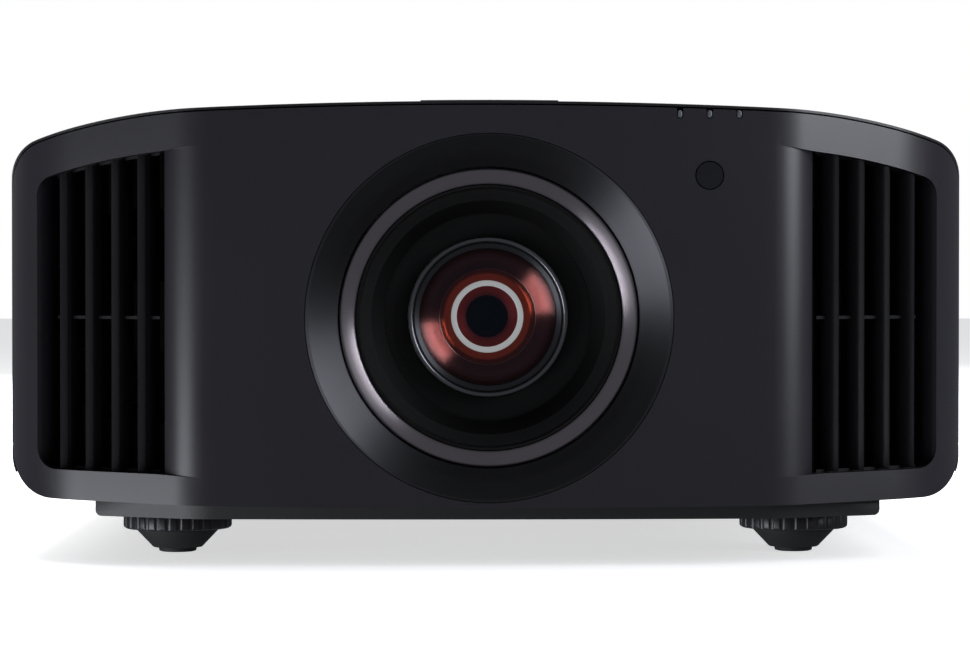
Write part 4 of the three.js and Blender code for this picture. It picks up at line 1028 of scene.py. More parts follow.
    def chassis(self, feet: Sequence[Point]) -> bpy.types.Object:
        """The lower shell with its tray, foot bosses and air slots."""
        form = self.form
        body = self.ring("bottom_chassis", 2.4)
        combine(body, Join.KEEP, block("below", (-300, 300), (-300, 300), (0, form.split - form.seam / 2)))
        combine(body, Join.CUT, self.panel_room(True), self.panel_room(False))
        for name, inset, how in (("tray", 0.0, Join.ADD), ("tray_room", 2.4, Join.CUT)):
            half, low = self.tray_half - inset, self.tray_bottom + inset
            quarter = Arc(3.0, math.pi / 2, 6)
            side = walk((0.0, low), 0.0, [Run(half - 3.0), quarter, Run(4.6 if not inset else 14.0)])
            tray = prism(name, side + mirrored(side)[:-1], Plane.XZ, (form.front, form.back))
            combine(tray, Join.KEEP, form.plan_block("tray_plan", self.tray_inset + inset))
            combine(body, how, tray)
        for x, y in feet:
            base = (x, y, self.tray_bottom)
            boss = turned("boss", [(4.4, 0), (12, 0), (12, 19.8), (4.4, 19.8)], base, 48, True)
            combine(body, Join.ADD, boss)
            well = turned("well", [(0, -3), (4.4, -3), (4.4, 25), (0, 25)], base, 48, True, False)
            combine(body, Join.CUT, well)
        for x in (-self.bracket_x, self.bracket_x):
            for y in self.bracket_y:
                base = (x, y, self.tray_bottom)
                profile = [(2.5, 0), (6, 0), (6, 11), (0, 11), (0, 9), (2.5, 9)]
                stud = turned("stud", profile, base, 40, True)
                hole = turned("hole", [(0, -3), (2.5, -3), (2.5, 9), (0, 9)], base, 40, True, False)
                combine(body, Join.ADD, stud)
                combine(body, Join.CUT, hole)
        slots = [
            prism("slot", rounded(around(x, 3.0), around(y, 46.0), 1.4, 4), Plane.XY, (15.0, 30.0))
            for y in (-100.0, 15.0, 75.0)
            for x in (side * (50.0 + 9.0 * i) for side in (-1, 1) for i in range(8))
        ]
        combine(body, Join.CUT, merge("slots", slots))
        return shade(soften(body, 0.4, 30.0, 2))

    def build(self, feet: Sequence[Point]) -> None:
        """Make and install the shells."""
        install(self.front_panel(), CASE_PAINT, Fitting("case", "case_paint", ("front_panel",)))
        install(self.top_cover(), COVER_PAINT, Fitting("case", "cover_paint", ("top_cover",)))
        install(self.chassis(feet), CHASSIS_PAINT, Fitting("case", "chassis_paint", ("bottom_chassis",)))


@dataclass(frozen=True)
class Louvre:
    """The blades of one vent and the frame that holds them."""

    form: CaseForm
    count: int = 4
    pitch: float = 13.8
    first: float = 13.0
    recess: float = 4.0
    depth: float = 22.0
    rail_front: float = 10.4
    rail_back: float = 13.4
    lens_z: float = 125.2

    def section(self, index: int) -> list[Point]:
        """One blade in plan."""
        x = self.form.vent_outer - self.first - index * self.pitch
        y = self.form.front + self.form.face_depth(x) + self.recess
        return self.form.blade_section((x, y), self.depth)

    def blades(self) -> bpy.types.Object:
        """The right vent's blades."""
        form = self.form
        blades = [prism("blade", self.section(i), Plane.XY, (0.0, form.height)) for i in range(self.count)]
        body = combine(merge("exhaust_louvre_right", blades), Join.KEEP, form.vent_block("blade_limit", -0.4))
        return even(shade(soften(body, 0.2, 50.0, 2), 40.0))

    def frame(self) -> bpy.types.Object:
        """The frame behind the blades' front edges, with its cross tie."""
        form = self.form
        span = (form.vent_inner + 3.0, form.vent_outer - form.blade_reach - 1.0)
        beside = (span, (form.front, form.front + form.vent_reach))
        rail = form.face_layer("louvre_frame_right", self.rail_front, self.rail_back)
        combine(rail, Join.KEEP, form.vent_block("rail_limit", 2.4))
        combine(rail, Join.CUT, form.vent_block("rail_open", -1.4))
        combine(rail, Join.KEEP, block("beside", *beside, (0, form.height)))
        tie = form.face_layer("tie", self.rail_front, self.rail_back)
        combine(tie, Join.KEEP, block("tie_limit", *beside, around(self.lens_z, 1.6)))
        combine(rail, Join.ADD, combine(tie, Join.KEEP, form.vent_block("tie_end", 0.0)))
        return shade(rail, 40.0)

    def build(self) -> None:
        """Make and install both louvres."""
        blades, rails = self.blades(), self.frame()
        pairs = (
            ("right", blades, rails),
            ("left", mirror_of(blades, "exhaust_louvre_left"), mirror_of(rails, "louvre_frame_left")),
        )
        for side, blade, rail in pairs:
            install(blade, BLADE_PLASTIC, Fitting("case", "black_plastic", (f"exhaust_louvre_{side}",)))
            # The louvre frame is painted near black, as painted shade behind the blades.
            install(rail, BLACK_AND_PAINTED_SHADE, Fitting("case", "black_plastic"))


# ------------------------------------------------------------------ the lens


@dataclass(frozen=True)
class LensFront:
    """What surrounds the lens: bezel, trim ring, shroud and light shield, about the lens axis."""

    form: CaseForm
    lens_z: float = 125.2
    bezel_radius: float = 91.9
    throat: float = 76.3
    bezel_depth: float = 21.0
    ring_outer: float = 75.4
    ring_inner: float = 67.4
    ring_front: float = 21.4
    ring_back: float = 27.4
    shroud_throat: float = 53.2
    shroud_depth: float = 45.0
    groove_count: int = 11
    groove_pitch: float = 0.62
    shield_depth: float = 48.5

    @property
    def centre(self) -> Place:
        """The lens axis at the front plane."""
        return (0.0, self.form.front, self.lens_z)

    def bezel(self) -> bpy.types.Object:
        """The conical surround, its rim flush with the panel and a flange behind the panel's bore."""
        back = self.ring_back + 2.6
        profile = [
            (self.bezel_radius, -0.6),
            (self.bezel_radius, 5.0),
            (self.bezel_radius + 2.2, 5.0),
            (self.bezel_radius + 2.2, 6.4),
            (self.bezel_radius - 1.0, 8.0),
            (self.throat + 2.4, self.bezel_depth),
            (self.throat + 2.4, back),
            (self.throat, back),
            (self.throat, self.bezel_depth + 0.6),
            (self.throat + 0.25, self.bezel_depth),
        ]
        body = soften(turned("lens_bezel", profile, self.centre, 192), 0.25, 30.0, 2)
        combine(body, Join.KEEP, self.form.plan_block("bezel_limit", 0.02))
        return shade(body)

    def trim_ring(self) -> bpy.types.Object:
        """The turned metal ring, rolled over its outer edge and sloping inwards."""
        outer, inner, front, back = self.ring_outer, self.ring_inner, self.ring_front, self.ring_back
        profile = [
            (outer, back),
            (outer, front + 1.1),
            (outer - 0.15, front + 0.55),
            (outer - 0.55, front + 0.15),
            (outer - 1.1, front),
            (outer - 1.8, front + 0.05),
            (outer - 4.8, front + 0.75),
            (inner + 0.7, front + 1.9),
            (inner + 0.15, front + 2.15),
            (inner, front + 2.7),
            (inner, back),
        ]
        return shade(turned("lens_trim_ring", profile, self.centre, 192), 50.0)

    def shroud(self) -> bpy.types.Object:
        """The black cone, with fine grooves turned into its outer part."""
        front, flange = self.ring_front + 1.2, self.ring_back + 0.4
        outer = self.ring_inner - 0.4
        slope = (outer - 1.0 - self.shroud_throat) / (self.shroud_depth - front)
        cone = [(self.shroud_throat, self.shroud_depth + 1.2), (self.shroud_throat, self.shroud_depth)]
        depth = front + 2.0 + self.groove_count * self.groove_pitch * 1.35
        grooves = []
        for i in range(self.groove_count):
            radius = self.shroud_throat + slope * (self.shroud_depth - depth)
            grooves += [(radius, depth), (radius + 0.42, depth - 0.1), (radius + 0.62, depth - 0.42)]
            depth -= self.groove_pitch * 1.35
        profile = [
            (outer, front),
            (outer, flange),
            (self.throat - 0.4, flange),
            (self.throat - 0.4, flange + 2.2),
            (outer - 2.4, flange + 2.2),
            (self.shroud_throat + 2, self.shroud_depth),
            (self.shroud_throat + 2, self.shroud_depth + 1.2),
            *cone,
            *grooves,
            (outer - 1.0, front),
        ]
        return shade(turned("lens_shroud", profile, self.centre, 192), 20.0)

    def light_shield(self) -> bpy.types.Object:
        """The dished annulus behind the shroud, which moves with the lens."""
        near, far = self.shield_depth, self.shield_depth + 1.5
        profile = [
            (41.1, near + 0.9),
            (41.1, far),
            (66.4, far),
            (66.4, near + 0.7),
            (62.0, near),
            (55.0, near),
            (46.0, near + 0.55),
            (43.0, near + 0.6),
        ]
        return shade(turned("lens_light_shield", profile, self.centre, 160), 40.0)

    def build(self) -> None:
        """Make and install the pieces around the lens."""
        install(self.bezel(), BEZEL_BLACK, Fitting("case", "lens_black", ("lens_bezel",)))
        install(self.trim_ring(), GUNMETAL, Fitting("case", "trim_gunmetal", ("lens_trim_ring",)))
        install(self.shroud(), SHROUD_BLACK, Fitting("case", "lens_black", ("lens_shroud",)))
        install(self.light_shield(), SHROUD_BLACK, Fitting("lens", "lens_black", ("lens_light_shield",)))


@dataclass(frozen=True)
class LensBarrel:
    """The barrel and the glass in it."""

    form: CaseForm
    lens_z: float = 125.2
    radius: float = 40.7
    front: float = 43.0
    bore: float = 38.4
    retainer: float = 35.2
    iris: float = 24.7
    ring_outer: float = 18.8
    ring_inner: float = 15.9
    ring_depth: float = 68.0

    @property
    def centre(self) -> Place:
        """The lens axis at the front plane."""
        return (0.0, self.form.front, self.lens_z)

    @staticmethod
    def dome(radius: float, rim: float, rise: float, facets: int = 18) -> list[Point]:
        """A spherical face from the axis out to its rim, its middle `rise` nearer than the rim."""
        sphere = (radius * radius + rise * rise) / (2 * rise)
        reach = math.asin(radius / abs(sphere))
        points = []
        for i in range(facets + 1):
            angle = reach * i / facets
            points.append((abs(sphere) * math.sin(angle), rim - rise + sphere * (1 - math.cos(angle))))
        return points

    def barrel(self) -> bpy.types.Object:
        """The barrel, with a rolled rim, a seat for the iris and a flange behind."""
        end, flange = self.front + 17.0, 122.0
        profile = [
            (self.radius - 0.5, self.front),
            (self.radius - 0.12, self.front + 0.15),
            (self.radius, self.front + 0.6),
            (self.radius, end - 2),
            (38.0, end),
            (38.0, flange),
            (50.0, flange),
            (50.0, flange + 3.6),
            (30.0, flange + 3.6),
            (30.0, 171.0),
            (27.7, 171.0),
            (27.7, end + 2),
            (self.iris, end + 2),
            (self.iris, end),
            (self.iris + 1.2, end - 0.8),
            (self.bore - 1.0, end - 1.6),
            (self.bore, end - 1.6),
            (self.bore, self.front + 1.0),
            (self.bore + 0.5, self.front + 0.2),
            (self.bore + 0.9, self.front),
        ]
        return shade(turned("lens_barrel", profile, self.centre, 160), 40.0)

    def retaining_ring(self) -> bpy.types.Object:
        """The threaded ring in front of the glass."""
        front = self.front + 1.4
        profile = [
            (self.retainer, front + 6.0),
            (self.retainer, front + 1.2),
            (self.retainer + 0.3, front + 0.7),
            (self.retainer + 0.9, front + 0.5),
            (self.bore - 0.9, front),
            (self.bore - 0.4, front + 0.3),
            (self.bore - 0.4, front + 6.0),
        ]
        return shade(turned("lens_retaining_ring", profile, self.centre, 160), 40.0)

    def front_glass(self) -> bpy.types.Object:
        """The front element, a meniscus whose faces run nearly parallel."""
        rim = self.front + 7.8
        near = self.dome(self.retainer - 0.4, rim, 4.2)
        far = self.dome(self.retainer - 2.0, rim + 3.2, 4.4)[::-1]
        profile = [*near, (self.bore - 0.4, rim), (self.bore - 0.4, rim + 3.2), *far]
        return shade(turned("front_lens_element", profile, self.centre, 160, closed=False), 40.0)

    def group_face(self) -> bpy.types.Object:
        """The coated second group, a shallow dished annulus in front of the iris."""
        depth = self.front + 12.6
        profile = [
            (self.iris + 0.2, depth + 1.9),
            (28.0, depth + 1.2),
            (32.0, depth + 0.4),
            (36.0, depth),
            (37.9, depth),
            (37.9, depth + 2.4),
            (self.iris + 0.2, depth + 2.6),
        ]
        return shade(turned("lens_group_face", profile, self.centre, 160), 40.0)

    def inner_ring(self) -> bpy.types.Object:
        """The bright ring that holds the inner element."""
        near, far = self.ring_depth, self.ring_depth + 7.0
        profile = [
            (self.ring_inner, far),
            (self.ring_inner, near + 0.5),
            (self.ring_inner + 0.5, near),
            (self.ring_outer - 0.5, near),
            (self.ring_outer, near + 0.5),
            (self.ring_outer, far),
        ]
        return shade(turned("inner_lens_ring", profile, self.centre, 128), 40.0)

    def inner_cell(self) -> bpy.types.Object:
        """The coated cell between the bright ring and the barrel's inner wall."""
        near, far = self.ring_depth + 2.0, self.ring_depth + 7.0
        profile = [
            (self.ring_outer + 0.1, near + 2.2),
            (21.0, near + 1.2),
            (24.0, near + 0.3),
            (27.3, near),
            (27.3, far),
            (self.ring_outer + 0.1, far),
        ]
        return shade(turned("inner_lens_cell", profile, self.centre, 128), 40.0)

    def inner_glass(self) -> bpy.types.Object:
        """The inner element, domed towards the front."""
        rim = self.ring_depth + 7.4
        near = self.dome(self.ring_inner - 0.4, rim, 4.8)
        profile = [*near, (27.3, rim), (27.3, rim + 5.0), (0.0, rim + 5.0)]
        return shade(turned("inner_lens_element", profile, self.centre, 128, closed=False), 40.0)

    def build(self) -> None:
        """Make and install the barrel and its glass."""
        install(self.barrel(), BARREL_BLACK, Fitting("lens", "lens_black", ("lens_barrel",)))
        install(self.retaining_ring(), BEZEL_BLACK, Fitting("lens", "lens_black", ("lens_retaining_ring",)))
        install(self.front_glass(), FRONT_GLASS, Fitting("lens", "coated_glass", ("front_lens_element",)))
        install(self.inner_ring(), GLOWING_RING, Fitting("lens", "bright_ring", ("inner_lens_ring",)))
        install(self.inner_glass(), INNER_GLASS, Fitting("lens", "coated_glass", ("inner_lens_element",)))
        install(self.group_face(), GROUP_COATING, Fitting("lens", "lens_black"))
        install(self.inner_cell(), CELL_COATING, Fitting("lens", "lens_black"))


# ------------------------------------------------------------------ feet


@dataclass(frozen=True)
class Feet:
    """Four screw feet: rubber pad and cone on a stem, and a scalloped wheel."""

    form: CaseForm
    inset: float = 86.0
    from_front: float = 110.0
    from_back: float = 70.0
    wheel_radius: float = 28.7
    scallops: int = 30
    scallop_radius: float = 2.0

    def places(self) -> dict[str, Point]:
        """Each foot's name and place on the floor."""
        x = self.form.half - self.inset
        ahead, behind = self.form.front + self.from_front, self.form.back - self.from_back
        return {
            "front_left": (-x, ahead),
            "front_right": (x, ahead),
            "rear_left": (-x, behind),
            "rear_right": (x, behind),
        }

    def stem(self) -> bpy.types.Object:
        """Pad, cone and threaded stem, at the origin."""
        profile = [
            (0.0, 0.0),
            (8.6, 0.0),
            (9.7, 0.35),
            (10.0, 1.1),
            (10.0, 2.0),
            (10.4, 2.3),
            (12.9, 2.4),
            (13.5, 2.9),
            (21.4, 11.2),
            (21.6, 11.9),
            (4.0, 11.9),
            (4.0, 41.0),
            (0.0, 41.0),
        ]
        return shade(turned("foot_stem", profile, (0, 0, 0), 96, True, False), 35.0)

    def wheel(self) -> bpy.types.Object:
        """The finger wheel, with round scallops all round and a neck above it."""
        profile = [
            (4.35, 12.3),
            (22.2, 12.3),
            (self.wheel_radius - 1.4, 12.5),
            (self.wheel_radius - 0.3, 13.2),
            (self.wheel_radius, 14.2),
            (self.wheel_radius, 18.6),
            (self.wheel_radius - 0.6, 19.6),
            (self.wheel_radius - 1.6, 19.9),
            (15.0, 19.9),
            (15.0, 23.8),
            (4.35, 23.8),
        ]
        body = turned("foot_wheel", profile, (0, 0, 0), 180, True)
        cutters = []
        for i in range(self.scallops):
            angle = 2 * math.pi * i / self.scallops
            reach = self.wheel_radius + self.scallop_radius * 0.62
            x, y = reach * math.cos(angle), reach * math.sin(angle)
            ring = walk((x, y - self.scallop_radius), 0.0, [Arc(self.scallop_radius, 2 * math.pi, 20)])[:-1]
            cutters.append(prism("scallop", ring, Plane.XY, (10.0, 25.0)))
        combine(body, Join.CUT, merge("scallops", cutters))
        return shade(soften(body, 0.25, 38.0, 2), 35.0)

    def build(self) -> None:
        """Make one foot and install a copy at each place."""
        stem, wheel = self.stem(), self.wheel()
        for name, (x, y) in self.places().items():
            pad = copy_of(stem, f"foot_stem_{name}", (x, y, 0))
            install(pad, RUBBER, Fitting(f"foot_{name}", "foot_rubber", (f"foot_stem_{name}",)))
            rim = copy_of(wheel, f"foot_wheel_{name}", (x, y, 0))
            node = f"foot_wheel_{name}"
            install(rim, BLADE_PLASTIC, Fitting(node, "black_plastic", (node,)))
        for first in (stem, wheel):
            bpy.data.objects.remove(first, do_unlink=True)


# ------------------------------------------------------------------ small things on the front


@dataclass(frozen=True)
class FrontDetails:
    """The sensor window and the indicator lights."""

    form: CaseForm
    sensor_x: float = 110.0
    sensor_z: float = 196.5
    pitch: float = 14.9
    pipe_width: float = 2.6

    def window(self) -> bpy.types.Object:
        """The flush round window, a little domed at its rim."""
        depth = self.form.front + self.form.face_depth(self.sensor_x)
        profile = [(0, 0.25), (6.2, 0.28), (6.7, 0.4), (6.9, 0.8), (6.9, 5.5), (0, 5.5)]
        centre = (self.sensor_x, depth, self.sensor_z)
        return shade(turned("remote_sensor_window", profile, centre, 96, closed=False), 45.0)

    def lights(self) -> bpy.types.Object:
        """Three light pipes on a bar behind the panel."""
        form = self.form
        pipes = []
        for i in (-1, 0, 1):
            x = self.sensor_x + i * self.pitch
            y = form.front + form.face_depth(x)
            face = rounded(around(x, self.pipe_width), (form.height - 8.9, form.height - 5.0), 1.25, 8)
            pipe = prism("pipe", face, Plane.XZ, (y + 0.1, y + 7.0))
            pipes.append(soften(pipe, 0.9, 40.0, 5))
        width = 2 * self.pitch + 6
        deep, tall = (form.front + 7.4, form.front + 9.0), (form.height - 9.9, form.height - 5.2)
        bar = block("bar", around(self.sensor_x, width), deep, tall)
        return shade(merge("indicator_light_pipe", [*pipes, bar]), 35.0)

    def build(self) -> None:
        """Make and install them."""
        install(self.window(), SMOKED, Fitting("case", "smoked_window", ("remote_sensor_window",)))
        install(self.lights(), LIGHT_PIPE, Fitting("case", "light_pipe", ("indicator_light_pipe",)))


# ------------------------------------------------------------------ the back


@dataclass(frozen=True)
class RearSide:
    """The rear panel and all that is let into it."""

    form: CaseForm
    terminals: tuple[Point, Point] = ((-150.0, 60.0), (44.0, 92.0))
    filter_window: tuple[Point, Point] = ((-212.0, -62.0), (116.0, 204.0))
    inlet: Point = (188.0, 68.0)
    keys: Point = (150.0, 158.0)
    key_pitch: float = 17.0
    key_drop: float = 38.0
    key_radius: float = 5.0
    slats: int = 9
    return_depth: float = 18.0
    grille_slots: int = 16
    grille_start: float = -40.0
    grille_pitch: float = 8.0
    video_sockets: Point = (18.0, -14.0)
    network_x: float = -50.0
    jacks: Place = (-82.0, -106.0, -130.0)
    socket_z: float = 68.0

    def inlet_outline(self, grow: float, radius: float) -> list[Point]:
        """The mains inlet's face, grown all round."""
        (x, z), (wide, tall) = self.inlet, (30.0, 22.0)
        return rounded(around(x, wide + 2 * grow), around(z, tall + 2 * grow), radius)

    def key_places(self) -> dict[str, Point]:
        """Each key's name and place in the view from behind."""
        x, z = self.keys
        step, drop = self.key_pitch, self.key_drop
        return {
            "up": (x, z + step),
            "down": (x, z - step),
            "left": (x + step, z),
            "right": (x - step, z),
            "ok": (x, z),
            "menu": (x + step, z - drop),
            "back": (x, z - drop),
            "power": (x - step, z - drop),
        }

    def panel(self) -> bpy.types.Object:
        """The moulded rear panel with its windows, key recess and air slots."""
        form = self.form
        back = form.back
        body = form.plan_block("rear_panel", 0.0)
        combine(body, Join.CUT, form.plan_block("inner", form.wall))
        span = (back - self.return_depth, back + SPARE)
        combine(body, Join.KEEP, block("behind", (-300, 300), span, (-20, 260)))
        combine(body, Join.KEEP, form.front_block("limit", top=form.lip, side=form.lip, bottom=0.0))
        deep = (back - 20, back + 5)
        tools = [
            prism("terminals", rounded(*self.terminals, 2.0), Plane.XZ, deep),
            prism("filter", rounded(*self.filter_window, 3.0), Plane.XZ, deep),
            prism("inlet", self.inlet_outline(0.4, 1.5), Plane.XZ, deep),
        ]
        x, z = self.keys
        reach = self.key_pitch + 12
        low = z - self.key_drop - 12
        recess = rounded((x - reach, x + reach), (low, z + reach), 8.0, 8)
        tools.append(prism("recess", recess, Plane.XZ, (back - 1.4, back + 5)))
        for place in self.key_places().values():
            tools.append(prism("hole", CaseShell.circle(*place, self.key_radius + 0.3, 40), Plane.XZ, deep))
        for i in range(self.grille_slots):
            slot = rounded(around(self.grille_start + self.grille_pitch * i, 3.4), (128.0, 196.0), 1.6)
            tools.append(prism("slot", slot, Plane.XZ, deep))
        combine(body, Join.CUT, *tools)
        return shade(soften(body, 0.4, 30.0, 2))

    def filter_cover(self) -> bpy.types.Object:
        """The clip-on filter cover with leaning slats."""
        back = self.form.back
        (x0, x1), (z0, z1) = self.filter_window
        x0, x1, z0, z1 = x0 + 0.4, x1 - 0.4, z0 + 0.4, z1 - 0.4
        rim = 7.0
        body = prism("filter_cover", rounded((x0, x1), (z0, z1), 2.6), Plane.XZ, (back - 3, back))
        opening = rounded((x0 + rim, x1 - rim), (z0 + rim, z1 - rim), 2.0)
        combine(body, Join.CUT, prism("opening", opening, Plane.XZ, (back - 9, back + 5)))
        pitch = (z1 - z0 - 2 * rim) / self.slats
        for i in range(1, self.slats):
            z = z0 + rim + i * pitch
            inner, outer = back - 2.8, back - 0.4
            section = [(inner, z + 1.6), (outer, z - 1.6), (outer, z - 0.2), (inner, z + 3)]
            combine(body, Join.ADD, prism("slat", section, Plane.YZ, (x0 + rim - 1, x1 - rim + 1)))
        latch = rounded(around((x0 + x1) / 2, 22), (z1 - 5.2, z1 - 1.6), 1.5)
        combine(body, Join.CUT, prism("latch", latch, Plane.XZ, (back - 1.0, back + 3)))
        return shade(soften(body, 0.3, 30.0, 2))

    def key(self, name: str, place: Point) -> bpy.types.Object:
        """A round key cap, dished in its middle, with its flange behind the panel."""
        radius = self.key_radius
        profile = [
            (0, -0.45),
            (radius * 0.5, -0.38),
            (radius * 0.8, -0.22),
            (radius - 0.5, -0.2),
            (radius - 0.15, -0.32),
            (radius, -0.7),
            (radius, -3.4),
            (radius + 1.6, -3.4),
            (radius + 1.6, -4.8),
            (0, -4.8),
        ]
        x, z = place
        return shade(turned(f"{name}_button", profile, (x, self.form.back, z), 56, closed=False), 40.0)

    def terminal_plate(self) -> bpy.types.Object:
        """The recessed plate that the sockets come through."""
        face = self.form.back - 3.4
        (x0, x1), (z0, z1) = self.terminals
        body = block("terminal_plate", (x0 - 6, x1 + 6), (face - 2, face), (z0 - 5, z1 + 5))
        deep = (face - 8, face + 8)
        z = self.socket_z
        for x in self.video_sockets:
            combine(body, Join.CUT, block("hole", around(x, 16.4), deep, around(z, 7.0)))
        combine(body, Join.CUT, block("hole", around(self.network_x, 17.2), deep, around(z, 14.4)))
        for x in self.jacks:
            combine(body, Join.CUT, prism("jack", CaseShell.circle(x, z, 4.4, 32), Plane.XZ, deep))
        return shade(soften(body, 0.2, 30.0, 2))

    def socket(self, name: str, x: float, size: Point, hollow: Point, body_depth: float) -> bpy.types.Object:
        """A folded metal socket shell with a hollow mouth."""
        mouth, z = self.form.back - 2.4, self.socket_z
        shell = rounded(around(x, size[0]), around(z, size[1]), 1.0)
        room = rounded(around(x, hollow[0]), around(z, hollow[1]), 0.8)
        body = prism(name, shell, Plane.XZ, (mouth - body_depth, mouth))
        combine(body, Join.CUT, prism("hollow", room, Plane.XZ, (mouth - 13, mouth + 5)))
        return shade(soften(body, 0.2, 30.0, 2))

    def tongue(self, name: str, x: float, z: float, size: Point, contacts: int, depth: Point) -> None:
        """A black contact carrier with a row of plated contacts along its lower face."""
        body = block(f"{name}_tongue", around(x, size[0]), depth, around(z, size[1]))
        install(shade(soften(body, 0.15)), BLADE_PLASTIC, Fitting("case", "black_plastic"))
        margin = 0.5
        pitch = (size[0] - 2 * margin) / contacts
        start, under = x - size[0] / 2 + margin, z - size[1] / 2
        along, thick = (depth[0] + 0.5, depth[1] - 0.6), (under - 0.16, under - 0.01)
        middles = [start + (i + 0.5) * pitch for i in range(contacts)]
        strips = [block("strip", around(middle, pitch * 0.5), along, thick) for middle in middles]
        install(merge(f"{name}_contacts", strips), CONTACT_GOLD, Fitting("case", "bright_steel"))

    def power_inlet(self) -> bpy.types.Object:
        """The mains inlet with its chamfered recess."""
        back = self.form.back
        x, z = self.inlet
        body = prism("power_inlet", self.inlet_outline(0.0, 1.2), Plane.XZ, (back - 24.2, back - 0.2))
        wide, tall, cut = 12.0, 8.0, 4.5
        mouth = [
            (x - wide, z - tall),
            (x + wide, z - tall),
            (x + wide, z + tall - cut),
            (x + wide - cut, z + tall),
            (x - wide + cut, z + tall),
            (x - wide, z + tall - cut),
        ]
        combine(body, Join.CUT, prism("mouth", mouth, Plane.XZ, (back - 16.2, back + 5)))
        return shade(soften(body, 0.3, 30.0, 2))

    def build(self) -> None:
        """Make and install everything at the back."""
        back = self.form.back
        install(self.panel(), REAR_PLASTIC, Fitting("case", "rear_plastic", ("rear_panel",)))
        cover = Fitting("filter_cover", "black_plastic", ("filter_cover",))
        install(self.filter_cover(), BLADE_PLASTIC, cover)
        (x0, x1), (z0, z1) = self.filter_window
        foam = block("filter_foam", (x0 + 4, x1 - 4), (back - 9.0, back - 4.2), (z0 + 4, z1 - 4))
        install(shade(soften(foam, 0.8)), FILTER_FOAM, Fitting("case", "black_plastic"))
        backing = block("rear_grille_screen", (-44.0, 84.0), (back - 5.0, back - 3.6), (124.0, 200.0))
        install(shade(soften(backing, 0.3)), FILTER_FOAM, Fitting("case", "black_plastic"))
        for name, place in self.key_places().items():
            button = f"{name}_button"
            install(self.key(name, place), KEY_PLASTIC, Fitting(button, "key_plastic", (button,)))
        install(self.terminal_plate(), CHASSIS_PAINT, Fitting("case", "chassis_paint", ("terminal_plate",)))
        for number, x in enumerate(self.video_sockets, 1):
            name = f"video_socket_{number}"
            socket = self.socket(name, x, (15.6, 6.2), (14.2, 4.8), 16)
            install(socket, PLATED_STEEL, Fitting("case", "bright_steel", (name,)))
            self.tongue(name, x, self.socket_z + 0.4, (11.5, 1.1), 10, (back - 15.2, back - 4.6))
        name = "network_socket"
        socket = self.socket(name, self.network_x, (16.4, 13.6), (12.0, 8.6), 18)
        install(socket, PLATED_STEEL, Fitting("case", "bright_steel", (name,)))
        self.tongue(name, self.network_x, self.socket_z + 3.2, (9.6, 1.2), 8, (back - 15.2, back - 5.6))
        install(self.power_inlet(), BLADE_PLASTIC, Fitting("case", "black_plastic", ("power_inlet",)))
        (x, z), deep = self.inlet, (back - 16.4, back - 5.0)
        places = ((-7.0, -1.2), (0.0, 2.2), (7.0, -1.2))
        pins = [block("pin", around(x + dx, 2.0), deep, around(z + dz, 4.0)) for dx, dz in places]
        pins = merge("power_inlet_pins", [soften(pin, 0.4) for pin in pins])
        install(pins, PLATED_STEEL, Fitting("case", "bright_steel"))
        collar = [(4.1, -3.6), (4.1, -0.9), (3.8, -0.6), (2.2, -0.6), (1.8, -0.9), (1.8, -12), (4.1, -12)]
        jacks = [turned("jack", collar, (x, back - 2.0, self.socket_z), 48) for x in self.jacks]
        install(shade(merge("trigger_jacks", jacks)), PLATED_STEEL, Fitting("case", "bright_steel"))


# ------------------------------------------------------------------ pieces kept from the CAD


KEPT_FINISHES = {
    "horizontal_carriage": CAST_ALUMINIUM,
    "vertical_carriage": CAST_ALUMINIUM,
    "shift_base": CAST_ALUMINIUM,
    "vertical_shift_screw": PLATED_STEEL,
    "horizontal_shift_screw": PLATED_STEEL,
    "vertical_shift_motor": MOTOR_CAN,
    "horizontal_shift_motor": MOTOR_CAN,
    "focus_motor": MOTOR_CAN,
    "zoom_motor": MOTOR_CAN,
    "focus_ring": NYLON,
    "zoom_ring": NYLON,
    "focus_pinion": NYLON,
    "zoom_pinion": NYLON,
    "optical_block": ENGINE_CASTING,
    "laser_heatsink": BLACK_SINK,
    "power_supply": BLACK_SINK,
    "main_board": SOLDER_MASK,
    # The fans are painted near black: their own black deepened to the vents' painted shade.
    "fan_frame_right": BLACK_AND_PAINTED_SHADE,
    "fan_frame_left": BLACK_AND_PAINTED_SHADE,
    "fan_rotor_right": BLACK_AND_PAINTED_SHADE,
    "fan_rotor_left": BLACK_AND_PAINTED_SHADE,
}


def dress_kept_nodes() -> None:
    """Give every CAD node that stays in sight its real finish."""
    for name, finish in KEPT_FINISHES.items():
        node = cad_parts[name]
        node.data.materials.clear()
        node.data.materials.append(finish.material())
        LOG.info("%s: kept, %s", name, finish.name)


# ------------------------------------------------------------------ stage


@dataclass(frozen=True)
class Lamp:
    """A soft rectangular light that faces a target."""

    name: str
    place: tuple[float, float, float]
    target: tuple[float, float, float]
    size: Point
    power: float
    colour: str = "#FFFFFF"

    def build(self) -> None:
        """Add the light, turned to its target."""
        data = bpy.data.lights.new(self.name, "AREA")
        data.shape = "RECTANGLE"
        data.size, data.size_y = self.size
        data.energy = self.power
        data.color = linear(self.colour)[:3]
        lamp = bpy.data.objects.new(self.name, data)
        bpy.context.scene.collection.objects.link(lamp)
        lamp.location = self.place
        lamp.visible_camera = False
        lamp.rotation_euler = (Vector(self.target) - Vector(self.place)).to_track_quat("-Z", "Y").to_euler()


FLOOR_GLOW = 0.62  # keeps the paper white where the case shades it
CAMERA_PLACE = (-0.0271, -1.8525, 0.1467)
CAMERA_TILT = 89.11  # degrees from looking straight down
CAMERA_TURN = -0.89
CAMERA_LENS = 119.23

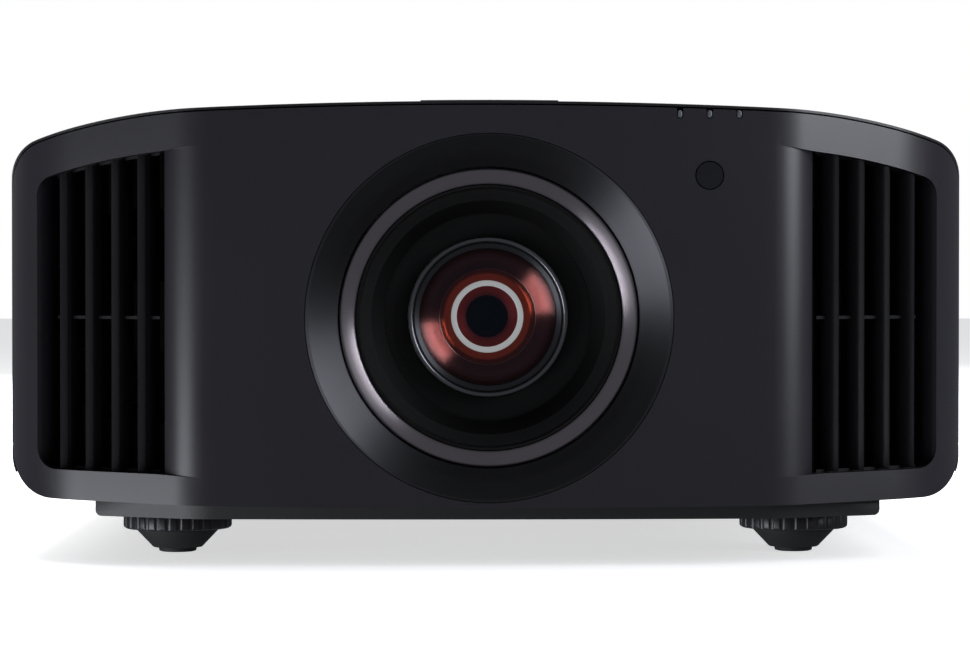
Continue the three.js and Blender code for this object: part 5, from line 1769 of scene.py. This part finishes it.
LAMPS = (
    Lamp("left softbox", (-1.06, -0.76, -0.36), (0.0, -0.25, 0.12), (0.6, 0.8), 12.5, "#F4F8FF"),
    Lamp("right softbox", (1.06, -0.76, 0.60), (0.0, -0.25, 0.12), (0.5, 0.8), 12.5, "#F4F8FF"),
    Lamp("overhead", (0.0, 0.5, 2.4), (0.0, 0.0, 0.2), (2.2, 1.6), 60.0),
    Lamp("rear softbox", (-0.7, 2.3, 1.2), (0.0, 0.25, 0.12), (2.4, 1.2), 70.0),
)


def build_stage() -> None:
    """Floor, world, lights and camera."""
    bpy.ops.mesh.primitive_plane_add(size=14, location=(0, 2.0, 0))
    floor = settle(bpy.context.object, "floor")
    paper = Finish("pale paper floor", "#F4F4F4", 0.9, grain=2.0, relief=0.01, vary=0.01).material()
    glow = paper.node_tree.nodes["Principled BSDF"]
    glow.inputs["Emission Color"].default_value = (1, 1, 1, 1)
    glow.inputs["Emission Strength"].default_value = FLOOR_GLOW
    floor.data.materials.append(paper)
    floor.visible_glossy = False
    floor.visible_shadow = False
    world = bpy.context.scene.world or bpy.data.worlds.new("studio")
    bpy.context.scene.world = world
    world.use_nodes = True
    tree = world.node_tree
    tree.nodes.clear()
    seen = add_node(tree, "ShaderNodeLightPath").outputs["Is Camera Ray"]
    dim = add_node(tree, "ShaderNodeBackground", None, Color=linear("#BFC3CC"), Strength=0.24)
    bright = add_node(tree, "ShaderNodeBackground", None, Color=(1, 1, 1, 1), Strength=1.0)
    mix = add_node(tree, "ShaderNodeMixShader", None, _0=seen, _1=dim.outputs[0], _2=bright.outputs[0])
    add_node(tree, "ShaderNodeOutputWorld", None, Surface=mix.outputs[0])
    for lamp in LAMPS:
        lamp.build()
    camera = bpy.data.objects.new("camera", bpy.data.cameras.new("camera"))
    bpy.context.scene.collection.objects.link(camera)
    camera.location = CAMERA_PLACE
    camera.rotation_euler = (math.radians(CAMERA_TILT), 0.0, math.radians(CAMERA_TURN))
    camera.data.lens = CAMERA_LENS
    camera.data.sensor_width = 36.0
    bpy.context.scene.camera = camera
    bpy.context.scene.view_settings.view_transform = "Standard"


def main() -> None:
    """Build the projector's pieces in order, then the stage."""
    logging.basicConfig(level=logging.INFO, format="%(message)s")
    form = CaseForm()
    feet = Feet(form)
    CaseShell(form).build(list(feet.places().values()))
    Louvre(form).build()
    LensFront(form).build()
    LensBarrel(form).build()
    feet.build()
    FrontDetails(form).build()
    RearSide(form).build()
    dress_kept_nodes()
    build_stage()


if __name__ == "__main__":
    main()
